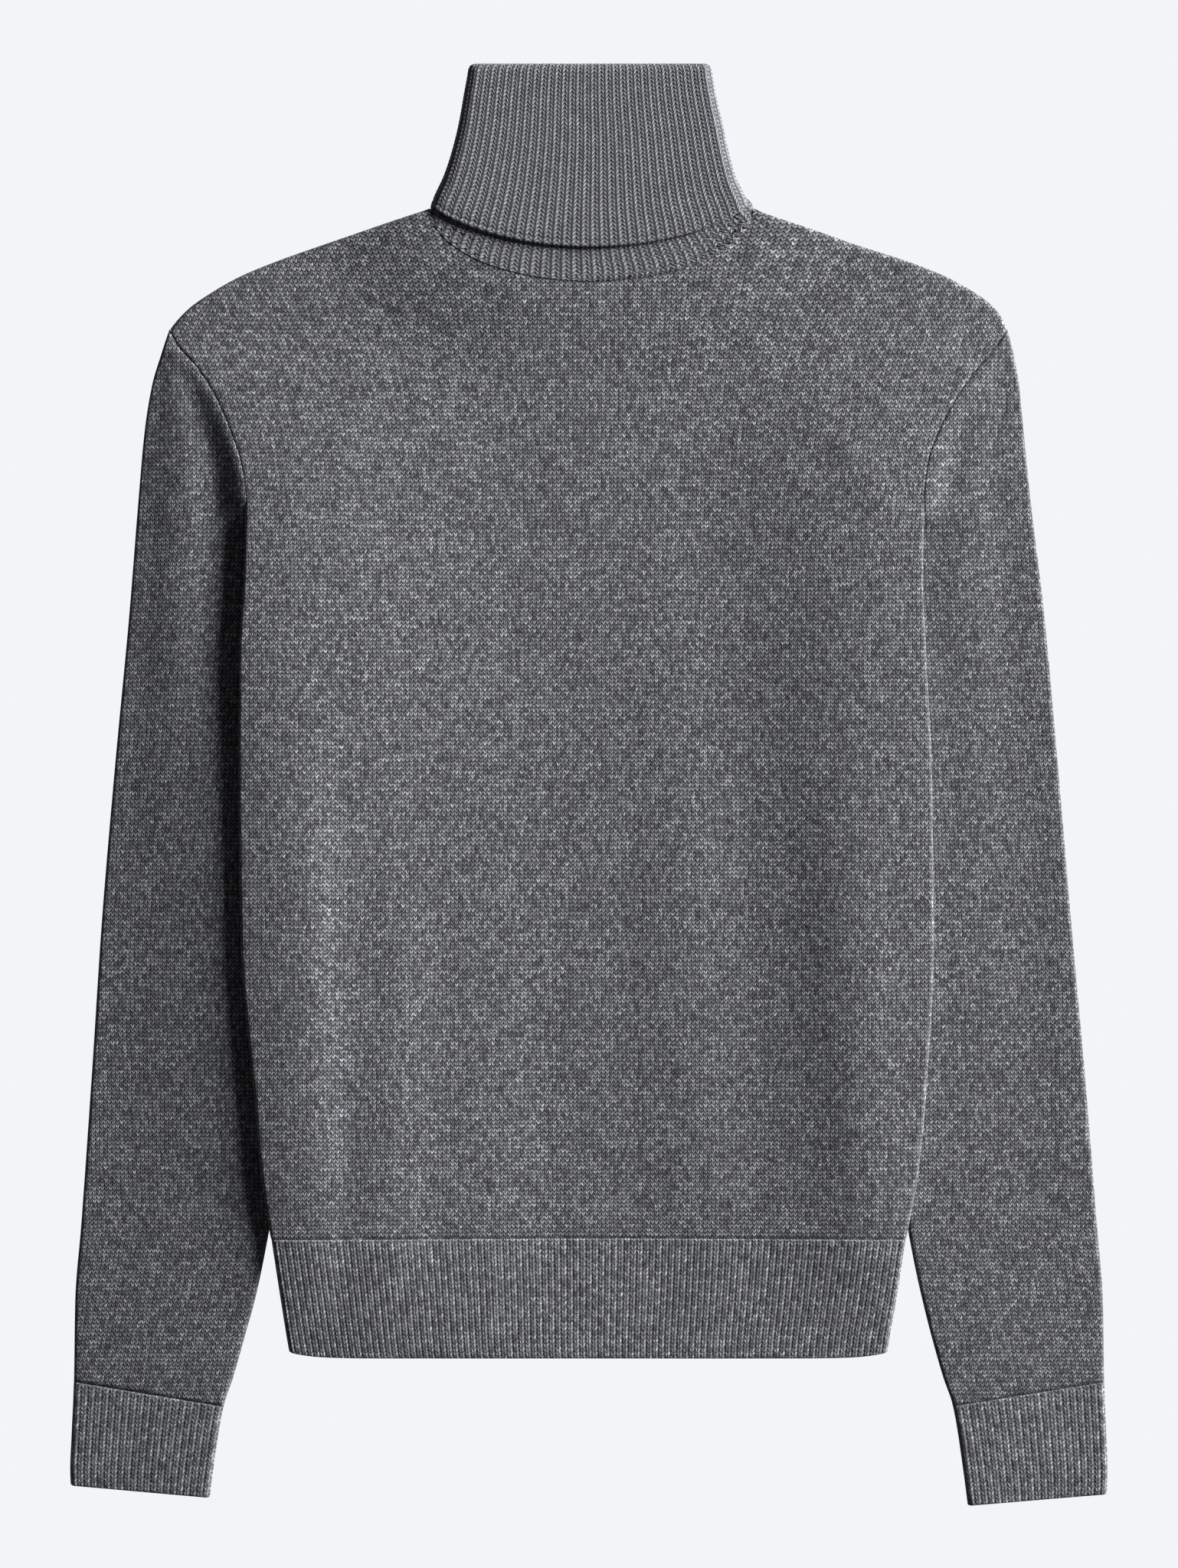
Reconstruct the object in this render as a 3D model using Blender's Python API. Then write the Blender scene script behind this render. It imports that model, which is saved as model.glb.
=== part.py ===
"""A turtleneck sweater in fine plain knit, laid flat on its back.

The front lies on the back, the turned-down collar lies over the neckline, and the sleeves
lie beside the body with their inner edges tucked under it. Each cut and sewn piece is one
closed wall of cloth. Sizes are in millimetres up to the meshes, which are in metres: +X is
the viewer's right, +Y points to the neck, and +Z points up from the surface underneath.
"""

import math
from collections import namedtuple

import bmesh
import bpy

# Walls and layers, in millimetres
JERSEY = 1.8  # wall of the plain knit
RIB = 2.4  # wall of the ribbed knit, over the ribs
AIR = 1.0  # between front and back where they lie on each other
SEAM = 0.3  # between two pieces sewn together
TURN_AIR = 0.4  # between the collar's stand and the part turned down over it
NECK_AIR = 0.6  # inside the flat collar
FLAT = JERSEY + AIR / 2  # half height of front and back together
RIB_FLAT = RIB + AIR / 2  # half height of two ribbed layers together
STAND_IN = NECK_AIR / 2  # half heights of the collar's four faces
STAND_OUT = STAND_IN + RIB
TURN_IN = STAND_OUT + TURN_AIR
TURN_OUT = TURN_IN + RIB

# The body's outline: where its side edges, armholes and shoulders lie at each height
HEM_Y = -262.0
UNDERARM_Y = 166.0
TIP_Y = 262.5
NECK_Y = 331.5
HEM_END_Y = -331.3
Edge = namedtuple("Edge", "y left right")
SIDES = [
    Edge(HEM_Y, -183.0, 182.6),
    Edge(-225.0, -188.6, 189.3),
    Edge(-181.0, -192.4, 193.8),
    Edge(-90.0, -200.1, 198.4),
    Edge(0.0, -201.3, 197.4),
    Edge(76.0, -200.8, 194.0),
    Edge(116.5, -198.3, 192.2),
    Edge(UNDERARM_Y, -197.2, 193.0),
]
ARMHOLES = [
    Edge(UNDERARM_Y, -197.2, 193.0),
    Edge(185.0, -199.9, 194.9),
    Edge(202.5, -205.6, 200.6),
    Edge(222.8, -214.4, 211.2),
    Edge(240.5, -225.5, 223.9),
    Edge(252.4, -236.2, 234.2),
    Edge(TIP_Y, -241.6, 240.9),
]
SHOULDERS = [
    Edge(TIP_Y, -241.6, 240.9),
    Edge(267.0, -238.2, 239.2),
    Edge(275.3, -229.9, 233.4),
    Edge(284.1, -217.1, 221.9),
    Edge(293.0, -201.2, 205.6),
    Edge(301.8, -180.0, 183.5),
    Edge(310.6, -155.3, 156.2),
    Edge(319.4, -129.3, 130.6),
    Edge(328.3, -101.9, 103.2),
    Edge(NECK_Y, -91.6, 94.9),
]
HEM_SIDES = [
    Edge(HEM_END_Y, -172.2, 171.8),
    Edge(-324.7, -173.4, 172.5),
    Edge(-298.3, -177.4, 176.9),
    Edge(HEM_Y, -182.6, 182.2),
]
HEM_CORNER = 3.6  # how far the hem's corners are drawn up
FRONT_NECK_DROP = 42.0
BACK_NECK_DROP = 19.0

# The sleeves: outer edges from the shoulder tips down, free inner edges below the body
CUFF_OUTER_Y = -344.6
CUFF_INNER_Y = -358.6
CUFF_END_OUTER = {"left": -404.6, "right": -409.6}
CUFF_END_INNER = {"left": -411.4, "right": -416.2}
SLEEVE_OUTER = [
    Edge(-410.0, -298.6, 298.6),
    Edge(-395.3, -299.3, 299.1),
    Edge(-377.7, -298.6, 298.5),
    Edge(CUFF_OUTER_Y, -297.2, 297.2),
    Edge(-298.3, -296.5, 296.5),
    Edge(-254.1, -293.0, 293.0),
    Edge(-165.9, -286.8, 285.9),
    Edge(-77.7, -281.0, 278.0),
    Edge(10.6, -273.5, 270.5),
    Edge(98.8, -265.2, 262.5),
    Edge(165.0, -259.9, 254.6),
    Edge(204.7, -256.3, 250.6),
    Edge(231.2, -251.9, 248.0),
    Edge(248.8, -246.6, 244.8),
    Edge(TIP_Y, -242.05, 241.35),
]
SLEEVE_FREE_Y = -259.0  # below this the inner edges lie clear of the body
SLEEVE_INNER = [
    Edge(-416.0, -219.2, 218.4),
    Edge(-395.3, -216.6, 215.7),
    Edge(CUFF_INNER_Y, -210.6, 209.8),
    Edge(-342.4, -205.2, 204.3),
    Edge(-315.9, -197.7, 196.8),
    Edge(-298.3, -192.8, 192.4),
    Edge(-280.6, -188.8, 188.4),
    Edge(SLEEVE_FREE_Y, -184.6, 184.2),
]
# How far each sleeve's inner edge lies under the body's side edge
Tuck = namedtuple("Tuck", "y left right")
TUCKS = [
    Tuck(SLEEVE_FREE_Y, -1.0, -1.0),
    Tuck(-251.0, 1.0, 1.0),
    Tuck(-225.0, 10.0, 9.0),
    Tuck(-180.0, 17.0, 15.0),
    Tuck(-40.0, 18.0, 17.0),
    Tuck(82.0, 18.0, 17.0),
    Tuck(120.0, 4.0, 4.0),
    Tuck(138.0, -0.8, -0.8),
    Tuck(UNDERARM_Y, -0.6, -0.6),
]

# How the layers lie: the body's edges rise over the sleeves, the sleeves rise in a ridge
EDGE_SHELF = {"left": 10.0, "right": 18.0}  # the raised edge is level this far in
EDGE_FALL = {"left": 170.0, "right": 130.0}  # and is down on the surface this far in
Rise = namedtuple("Rise", "y left right")
EDGE_RISES = [
    Rise(HEM_END_Y, 0.0, 0.0),
    Rise(-300.0, 3.2, 2.4),
    Rise(HEM_Y, 6.8, 5.6),
    Rise(-210.0, 8.8, 6.5),
    Rise(-120.0, 10.4, 6.9),
    Rise(60.0, 10.4, 6.9),
    Rise(143.0, 8.8, 6.3),
    Rise(190.0, 6.4, 4.8),
    Rise(232.0, 3.4, 2.6),
    Rise(TIP_Y, 0.0, 0.0),
]
SLEEVE_FALL = 18.0  # across the sleeve, from the raised armhole seam to the surface
SLEEVE_FALL_LENGTH = 26.0  # and down its inner edge from the underarm
NECK_RISE = TURN_OUT - FLAT  # lifts the neckline to the middle of the collar's layers
NECK_SHELF = 6.0
NECK_FALL = 60.0
Ridge = namedtuple("Ridge", "y left right")
RIDGES = [
    Ridge(-416.0, 1.3, 0.5),
    Ridge(CUFF_OUTER_Y, 1.6, 0.6),
    Ridge(HEM_Y, 1.7, 0.8),
    Ridge(-210.0, 3.2, 1.2),
    Ridge(-120.0, 4.6, 1.7),
    Ridge(-30.0, 4.8, 1.8),
    Ridge(60.0, 4.6, 1.8),
    Ridge(143.0, 3.7, 1.7),
    Ridge(205.0, 2.8, 1.4),
    Ridge(240.0, 1.2, 0.7),
    Ridge(TIP_Y, 0.0, 0.0),
]
# Across the sleeve, from the body's edge to the sleeve's outer edge: the share of the
# ridge's height along the arm and, with its crest further out, at the sleeve's cap
Slope = namedtuple("Slope", "across left right left_cap right_cap")
RIDGE_SLOPES = [
    Slope(0.0, 1.0, 1.0, 0.0, 0.0),
    Slope(0.1, 0.96, 0.72, 0.02, 0.15),
    Slope(0.28, 0.8, 0.6, 0.2, 0.85),
    Slope(0.42, 0.62, 0.36, 0.7, 1.0),
    Slope(0.56, 0.42, 0.08, 1.0, 0.6),
    Slope(0.7, 0.23, 0.0, 0.76, 0.2),
    Slope(0.85, 0.07, 0.2, 0.3, 0.3),
    Slope(1.0, 0.0, 0.46, 0.0, 0.3),
]
CAP_START = -60.0  # the crest moves outwards from this height
CAP_FULL = 205.0  # up to this one

# Soft folds of the front layer, each along the line from low to high, and how far each
# reaches to the left and to the right of that line
Fold = namedtuple("Fold", "low_x low_y high_x high_y left right height")
FRONT_FOLDS = [
    Fold(-158.0, -345.0, -168.0, 150.0, 50.0, 26.0, 2.6),
    Fold(-122.0, -350.0, -98.0, 20.0, 28.0, 30.0, 1.5),
    Fold(-60.0, -360.0, -52.0, 150.0, 46.0, 46.0, 1.4),
    Fold(72.0, -370.0, 46.0, 150.0, 42.0, 42.0, 1.7),
    Fold(166.0, -345.0, 134.0, 130.0, 36.0, 36.0, 1.5),
    Fold(-184.0, 140.0, -112.0, 244.0, 15.0, 15.0, 0.7),
    Fold(180.0, 144.0, 122.0, 232.0, 14.0, 14.0, 0.6),
]
FOLD_START = 0.34  # share of a fold's length over which it rises at its low end
FOLD_END = 0.5  # and over which it dies away at its high end

# The collar's faces as rings: height of their ends, drop of the front and back between them,
# how round that drop is, half height of the layers, and depth of the grooves between ribs
Ring = namedtuple("Ring", "name end front_drop back_drop round half groove")
FOLD_Y = 414.7
LOOSE_Y = 334.6
RIBBED_RINGS_OUTSIDE = [
    Ring("loose_edge", LOOSE_Y - 0.6, 25.2, 44.0, 0.5, TURN_OUT - 1.1, 0.0),
    Ring("bound_edge", LOOSE_Y + 0.8, 24.9, 43.0, 0.5, TURN_OUT, 0.2),
    Ring("turn_low", 339.0, 24.0, 40.0, 0.5, TURN_OUT, 1.0),
    Ring("turn_third", 362.0, 16.5, 26.0, 0.4, TURN_OUT, 1.0),
    Ring("turn_high", 393.0, 6.0, 8.0, 0.3, TURN_OUT, 1.0),
    Ring("roll_out", 410.4, 0.9, 0.6, 0.2, TURN_OUT - 0.1, 0.9),
    Ring("roll_over", 413.8, 0.3, -0.4, 0.2, TURN_OUT - 1.1, 0.6),
]
PLAIN_RINGS_INSIDE_STAND = [
    Ring("roll_top", FOLD_Y, 0.0, -0.8, 0.2, (TURN_OUT + STAND_IN) / 2, 0.0),
    Ring("roll_in", 412.6, 0.2, -0.4, 0.2, STAND_IN + 0.7, 0.0),
    Ring("stand_in_high", 406.0, 1.0, 0.8, 0.3, STAND_IN, 0.0),
    Ring("stand_in_mid", 366.0, 20.0, 10.0, 0.7, STAND_IN, 0.0),
    Ring("stand_in_low", 340.0, 36.0, 17.0, 1.0, STAND_IN, 0.0),
    Ring("seam_in", NECK_Y, FRONT_NECK_DROP - 0.1, BACK_NECK_DROP - 0.1, 1.0, STAND_IN, 0.0),
]
RIBBED_RINGS_STAND = [
    Ring("seam_out", NECK_Y, FRONT_NECK_DROP - 0.1, BACK_NECK_DROP - 0.1, 1.0, STAND_OUT, 0.2),
    Ring("stand_low", 335.2, 38.6, 17.6, 1.0, STAND_OUT, 0.8),
    Ring("stand_under", 350.0, 30.5, 13.0, 0.85, STAND_OUT, 0.8),
]
PLAIN_RINGS_CHANNEL = [
    Ring("stand_mid", 372.0, 17.0, 8.0, 0.6, STAND_OUT, 0.0),
    Ring("stand_high", 402.0, 2.5, 1.8, 0.3, STAND_OUT, 0.0),
    Ring("channel_top", 409.4, 0.9, 0.6, 0.2, (STAND_OUT + TURN_IN) / 2, 0.0),
    Ring("inside_high", 402.0, 2.5, 1.8, 0.3, TURN_IN, 0.0),
    Ring("inside_mid", 372.0, 13.0, 20.0, 0.4, TURN_IN, 0.0),
    Ring("inside_low", LOOSE_Y + 1.0, 24.8, 43.0, 0.5, TURN_IN, 0.0),
]
COLLAR_EDGES = [  # outermost edge of the turned-down part at each height
    Edge(LOOSE_Y - 1.0, -91.6, 92.2),
    Edge(341.5, -88.0, 88.6),
    Edge(350.0, -84.0, 84.6),
    Edge(363.5, -79.4, 80.7),
    Edge(381.2, -75.0, 76.8),
    Edge(398.8, -71.9, 72.8),
    Edge(410.0, -70.0, 71.1),
    Edge(FOLD_Y, -69.6, 70.9),
]

# Ribs: how many, and how deep the grooves between them are
HEM_RIBS = 100
CUFF_RIBS = 22
COLLAR_RIBS = 36
HEM_GROOVE = 0.9
CUFF_GROOVE = 0.9
RibLevel = namedtuple("RibLevel", "along groove thinner")
RIB_LEVELS = [  # from the seam to the loose edge, where the wall is thinner and rounded
    RibLevel(0.0, 0.35, 0.0),
    RibLevel(0.04, 1.0, 0.0),
    RibLevel(0.35, 1.0, 0.0),
    RibLevel(0.68, 1.0, 0.0),
    RibLevel(0.97, 1.0, 0.0),
    RibLevel(1.0, 0.45, 0.7),
]

# How the plan of each piece is filled in
UNDERARM_SHARE = 0.8  # of the way from the hem seam to the shoulder tips
SHOULDER_SHARE = 0.25  # of the body's columns that end on each shoulder line
SHOULDER_BUNCH = 0.75  # draws the points of a shoulder line towards its tip
SHOULDER_LEAN = 0.75  # how square the columns meet the shoulder lines
BEND_SHARPNESS = 8  # the higher, the nearer to the shoulders the columns bend
ARMHOLE_CLEAR_LENGTH = 10.0  # over which the armhole's seam gap opens, above the underarm
ARM_CLEAR = 0.45  # along X from the armhole to the sleeve: a seam's gap where it runs aslant
CORNER_SHARPNESS = 14  # the higher, the shorter the hem's drawn-up corners
ARMHOLE_REACH = 0.16  # share of the sleeve over which the armhole's curve fades out
COLLAR_FLARE = 12.0  # height over which the stand widens to the neck seam
PROBE = 0.02  # a small step of u or v, for measuring lengths

# Mesh steps
BODY_SHOULDER_STEPS = 5
BODY_NECK_STEPS = 16
SIDE_LEVELS = [HEM_Y, -236.0, -200.0, -155.0, -105.0, -50.0, 5.0, 55.0, 96.0, 126.0, 148.0]
SIDE_LEVELS_INSIDE = [HEM_Y, -220.0, -160.0, -95.0, -30.0, 40.0, 90.0, 126.0, 148.0]
ARMHOLE_LEVELS = [UNDERARM_Y, 175.0, 184.5, 194.0, 204.0, 214.0, 224.0, 233.0, 242.0, 251.0]
SLEEVE_LEVELS = [0, 0.02, 0.045, 0.08, 0.12, 0.165, 0.22, 0.29, 0.37, 0.46, 0.55]
SLEEVE_LEVELS += [0.64, 0.72, 0.79, 0.85, 0.91, 0.96, 1]
SLEEVE_LEVELS_INSIDE = [0, 0.045, 0.12, 0.22, 0.34, 0.46, 0.58, 0.7, 0.79, 0.88, 1]
HEM_LEVELS_INSIDE = [0, 0.35, 0.68, 1]
CUFF_LEVELS_INSIDE = [0, 0.5, 1]
SLEEVE_WIDTH = 96.0  # widths for spacing the points round a tube
CUFF_WIDTH = 87.0
HEM_STEPS = 26
SLEEVE_TOP_STEPS = 15
SLEEVE_BOTTOM_STEPS = 10
SLEEVE_TOP_STEPS_INSIDE = 11
SLEEVE_BOTTOM_STEPS_INSIDE = 8
CUFF_STEPS = 9
COLLAR_STEPS = 24
COLLAR_BOTTOM_STEPS = 20
COLLAR_LINE_STEPS = 240
NECK_LINE_STEPS = 40
SAMPLES_PER_RIB = 2
ROUND_STEPS = 2
TINY = 1e-9
MM = 0.001


# Curves through tables


def through(places, values):
    """A smooth function that passes through the values and never swings past them."""
    count = len(places)
    rises = [
        (values[i + 1] - values[i]) / (places[i + 1] - places[i]) for i in range(count - 1)
    ]
    slopes = [rises[0]]
    for before, after in zip(rises, rises[1:]):
        if before * after <= 0:
            slopes.append(0.0)
        else:
            slopes.append(2 * before * after / (before + after))
    slopes.append(rises[-1])

    def value(place):
        if place <= places[0]:
            return values[0]
        if place >= places[-1]:
            return values[-1]
        i = 0
        while place > places[i + 1]:
            i += 1
        step = places[i + 1] - places[i]
        t = (place - places[i]) / step
        return (
            values[i] * (1 + 2 * t) * (1 - t) ** 2
            + slopes[i] * step * t * (1 - t) ** 2
            + values[i + 1] * t * t * (3 - 2 * t)
            - slopes[i + 1] * step * t * t * (1 - t)
        )

    return value


def column(rows, key, name):
    """A smooth function of the rows' key that gives their column of that name."""
    ordered = sorted(rows, key=lambda row: getattr(row, key))
    return through(
        [getattr(row, key) for row in ordered], [getattr(row, name) for row in ordered]
    )


SIGN = {"left": -1.0, "right": 1.0}
side_x = {side: column(SIDES, "y", side) for side in SIGN}
armhole_x = {side: column(ARMHOLES, "y", side) for side in SIGN}
shoulder_x = {side: column(SHOULDERS, "y", side) for side in SIGN}
hem_x = {side: column(HEM_SIDES, "y", side) for side in SIGN}
outer_x = {side: column(SLEEVE_OUTER, "y", side) for side in SIGN}
free_x = {side: column(SLEEVE_INNER, "y", side) for side in SIGN}
tuck = {side: column(TUCKS, "y", side) for side in SIGN}
ridge_height = {side: column(RIDGES, "y", side) for side in SIGN}
arm_slope = {side: column(RIDGE_SLOPES, "across", side) for side in SIGN}
cap_slope = {side: column(RIDGE_SLOPES, "across", side + "_cap") for side in SIGN}
edge_rise = {side: column(EDGE_RISES, "y", side) for side in SIGN}
collar_x = {side: column(COLLAR_EDGES, "y", side) for side in SIGN}


def ease(t):
    """From 0 at t = 0 to 1 at t = 1, level at both ends."""
    t = min(max(t, 0.0), 1.0)
    return t * t * (3 - 2 * t)


def mix(a, b, t):
    return a + (b - a) * t


def body_edge(side, y):
    """The body's edge at a height: side edge, armhole or hem rib."""
    if y > UNDERARM_Y:
        return armhole_x[side](y)
    if y < HEM_Y:
        return hem_x[side](y)
    return side_x[side](y)


def inner_edge(side, y):
    """A sleeve's inner edge at a height: under the body, or free below it."""
    if y < SLEEVE_FREE_Y:
        return free_x[side](y)
    return body_edge(side, y) - SIGN[side] * tuck[side](y)


def neck_point(share, drop, spread):
    """A point on a neckline, from its left end to its right end, spread outwards."""
    left = shoulder_x["left"](NECK_Y)
    right = shoulder_x["right"](NECK_Y)
    angle = math.pi * share
    half = (right - left) / 2 + spread
    x = (left + right) / 2 - half * math.cos(angle)
    return x, NECK_Y - (drop + spread) * math.sin(angle)


NECK_POINTS = [
    neck_point(i / NECK_LINE_STEPS, FRONT_NECK_DROP, 0.0) for i in range(NECK_LINE_STEPS + 1)
]


def from_neck(x, y):
    """Distance in the plane from the front neckline, and 0 inside it."""
    left, right = NECK_POINTS[0][0], NECK_POINTS[-1][0]
    middle, half = (left + right) / 2, (right - left) / 2
    across = (x - middle) / half
    if abs(across) < 1 and y > NECK_Y - FRONT_NECK_DROP * math.sqrt(1 - across * across):
        return 0.0
    return min(math.hypot(x - px, y - py) for px, py in NECK_POINTS)


# How high each layer lies over the surface


def body_rise(x, y):
    """How far the body's layers are lifted, over the sleeves and round the collar."""
    neck = 1 - ease((from_neck(x, y) - NECK_SHELF) / (NECK_FALL - NECK_SHELF))
    rise = NECK_RISE * neck
    for side in SIGN:
        inward = SIGN[side] * (body_edge(side, y) - x)
        shelf, fall = EDGE_SHELF[side], EDGE_FALL[side]
        rise += edge_rise[side](y) * (1 - ease((inward - shelf) / (fall - shelf)))
    return rise


def sleeve_rise(side, x, y):
    """How far a sleeve's layers are lifted: at the armhole seam and in the long ridge."""
    crease = body_edge(side, y) if y > SLEEVE_FREE_Y else inner_edge(side, y)
    out = SIGN[side] * (x - crease)
    width = SIGN[side] * (outer_x[side](y) - crease)
    seam = 1 - ease(out / SLEEVE_FALL)
    seam *= ease(1 - (UNDERARM_Y - y) / SLEEVE_FALL_LENGTH)
    across = out / width if width > 1 else 1.0
    cap = ease((y - CAP_START) / (CAP_FULL - CAP_START))
    ridge = mix(arm_slope[side](across), cap_slope[side](across), cap)
    return edge_rise[side](y) * seam + ridge_height[side](y) * ridge * (1 - seam)


def front_folds(x, y):
    """The soft folds of the front layer, on top of the body's rise."""
    height = 0.0
    for fold in FRONT_FOLDS:
        along_x, along_y = fold.high_x - fold.low_x, fold.high_y - fold.low_y
        length = math.hypot(along_x, along_y)
        along = ((x - fold.low_x) * along_x + (y - fold.low_y) * along_y) / length**2
        across = ((x - fold.low_x) * along_y - (y - fold.low_y) * along_x) / length
        reach = fold.left if across < 0 else fold.right
        if abs(across) >= reach:
            continue
        ends = ease(along / FOLD_START) * ease((1 - along) / FOLD_END)
        height += fold.height * ends * math.cos(across / reach * math.pi / 2) ** 2
    return height


# Meshes


class Wall:
    """Points and triangles of one piece, laid row by row."""

    def __init__(self):
        self.points = []
        self.faces = []

    def row(self, places):
        """Adds points, given as (share along the row, point), and returns their numbers."""
        first = len(self.points)
        self.points += [point for _, point in places]
        return [(share, first + i) for i, (share, _) in enumerate(places)]

    def stitch(self, one, two, closed=False):
        """Fills the strip between two rows, which may have different numbers of points."""
        if closed:
            one = one + [(one[0][0] + 1, one[0][1])]
            two = two + [(two[0][0] + 1, two[0][1])]
        i = j = 0
        while i < len(one) - 1 or j < len(two) - 1:
            last = j == len(two) - 1
            if last or (i < len(one) - 1 and one[i + 1][0] <= two[j + 1][0] + TINY):
                self.faces.append((one[i][1], one[i + 1][1], two[j][1]))
                i += 1
            else:
                self.faces.append((one[i][1], two[j + 1][1], two[j][1]))
                j += 1

    def grid(self, rows, closed=False):
        """Adds rows of points with the strips between them, and returns the rows' numbers."""
        numbers = [self.row(row) for row in rows]
        for one, two in zip(numbers, numbers[1:]):
            self.stitch(one, two, closed)
        return numbers

    def border(self, rows, end):
        """One side of an open grid as a row, its shares measured along Y."""
        numbers = [row[end][1] for row in rows]
        places = [self.points[number][1] for number in numbers]
        length = places[-1] - places[0]
        return [((y - places[0]) / length, number) for y, number in zip(places, numbers)]

    def object(self, name, material):
        """Makes the closed mesh object, with its faces turned outwards."""
        mesh = bpy.data.meshes.new(name)
        mesh.from_pydata([[c * MM for c in point] for point in self.points], [], self.faces)
        bm = bmesh.new()
        bm.from_mesh(mesh)
        bmesh.ops.recalc_face_normals(bm, faces=bm.faces)
        bm.to_mesh(mesh)
        bm.free()
        mesh.materials.append(material)
        made = bpy.data.objects.new(name, mesh)
        bpy.context.scene.collection.objects.link(made)
        return made


def open_wall(outer, inner):
    """A wall with an outer and an inner face, joined along its four borders."""
    wall = Wall()
    out = wall.grid(outer)
    inside = wall.grid(inner)
    wall.stitch(out[0], inside[0])
    wall.stitch(out[-1], inside[-1])
    wall.stitch(wall.border(out, 0), wall.border(inside, 0))
    wall.stitch(wall.border(out, -1), wall.border(inside, -1))
    return wall


def tube_wall(outer, inner):
    """A tube with an outer and an inner face, joined round its two ends."""
    wall = Wall()
    out = wall.grid(outer, closed=True)
    inside = wall.grid(inner, closed=True)
    wall.stitch(out[0], inside[0], closed=True)
    wall.stitch(out[-1], inside[-1], closed=True)
    return wall


# The flat tube's section: upper half, from the middle of one edge to that of the other


def over(width, half, share):
    """Place across and height over the middle, and the outward direction there."""
    quarter = half * math.pi / 2
    length = width - 2 * half + 2 * quarter
    s = share * length
    if quarter <= s <= length - quarter:
        return half + s - quarter, half, (0.0, 1.0)
    angle = min(s, length - s) / half
    aside, up = math.cos(angle), math.sin(angle)
    if s < quarter:
        return half - half * aside, half * up, (-aside, up)
    return width - half + half * aside, half * up, (aside, up)


def plain_shares(width, half, steps):
    """Shares along over(): a few round each edge, and even steps between."""
    quarter = half * math.pi / 2
    length = width - 2 * half + 2 * quarter
    rounds = [i / ROUND_STEPS * quarter / length for i in range(ROUND_STEPS)]
    flat = [mix(quarter, length - quarter, i / steps) / length for i in range(steps + 1)]
    return rounds + flat + [1 - share for share in reversed(rounds)]


def ribbed(place, share, ribs, groove):
    """The place sunk by the groove's depth where the share falls between two ribs."""
    across, height, (out_x, out_z) = place
    depth = groove * (0.5 - 0.5 * math.cos(2 * math.pi * share * ribs))
    return across - out_x * depth, height - out_z * depth


# Body: front and back


def outline_side(side, v):
    """The body's side edge and armhole, from the hem seam to the shoulder tip."""
    if v < UNDERARM_SHARE:
        y = mix(HEM_Y + SEAM / 2, UNDERARM_Y, v / UNDERARM_SHARE)
    else:
        y = mix(UNDERARM_Y, TIP_Y, (v - UNDERARM_SHARE) / (1 - UNDERARM_SHARE))
    clear = SEAM / 2 * ease((y - UNDERARM_Y) / ARMHOLE_CLEAR_LENGTH)
    return body_edge(side, y) - SIGN[side] * clear, y


def shoulder_point(side, share):
    """A point on a shoulder line, from the tip to the neck."""
    y = mix(TIP_Y, NECK_Y, share**SHOULDER_BUNCH)
    return shoulder_x[side](y), y


def outline_top(u, drop):
    """Shoulder, neckline and shoulder, from the left tip to the right tip."""
    if u <= SHOULDER_SHARE:
        return shoulder_point("left", u / SHOULDER_SHARE)
    if u >= 1 - SHOULDER_SHARE:
        return shoulder_point("right", (1 - u) / SHOULDER_SHARE)
    share = (u - SHOULDER_SHARE) / (1 - 2 * SHOULDER_SHARE)
    return neck_point(share, drop, SEAM)


def body_plan(u, v, drop):
    """The body's outline filled in: u from left to right, v from hem to neck.

    Columns bend towards their places on the shoulder lines and the neckline, mostly near
    the top and in proportion to the body's width there, so neighbours never cross.
    """
    left, right = outline_side("left", v), outline_side("right", v)
    top, first, last = outline_top(u, drop), outline_top(0, drop), outline_top(1, drop)
    bend = (top[0] - mix(first[0], last[0], u)) / (last[0] - first[0])
    x = left[0] + (right[0] - left[0]) * (u + v**BEND_SHARPNESS * bend)
    return x, left[1] + v * (top[1] - TIP_Y)


def body_columns():
    """Steps across the body that meet the ends of the shoulder lines."""
    shoulder = [i / BODY_SHOULDER_STEPS * SHOULDER_SHARE for i in range(BODY_SHOULDER_STEPS)]
    neck = [
        mix(SHOULDER_SHARE, 1 - SHOULDER_SHARE, i / BODY_NECK_STEPS)
        for i in range(BODY_NECK_STEPS + 1)
    ]
    return shoulder + neck + [1 - u for u in reversed(shoulder)]


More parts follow.
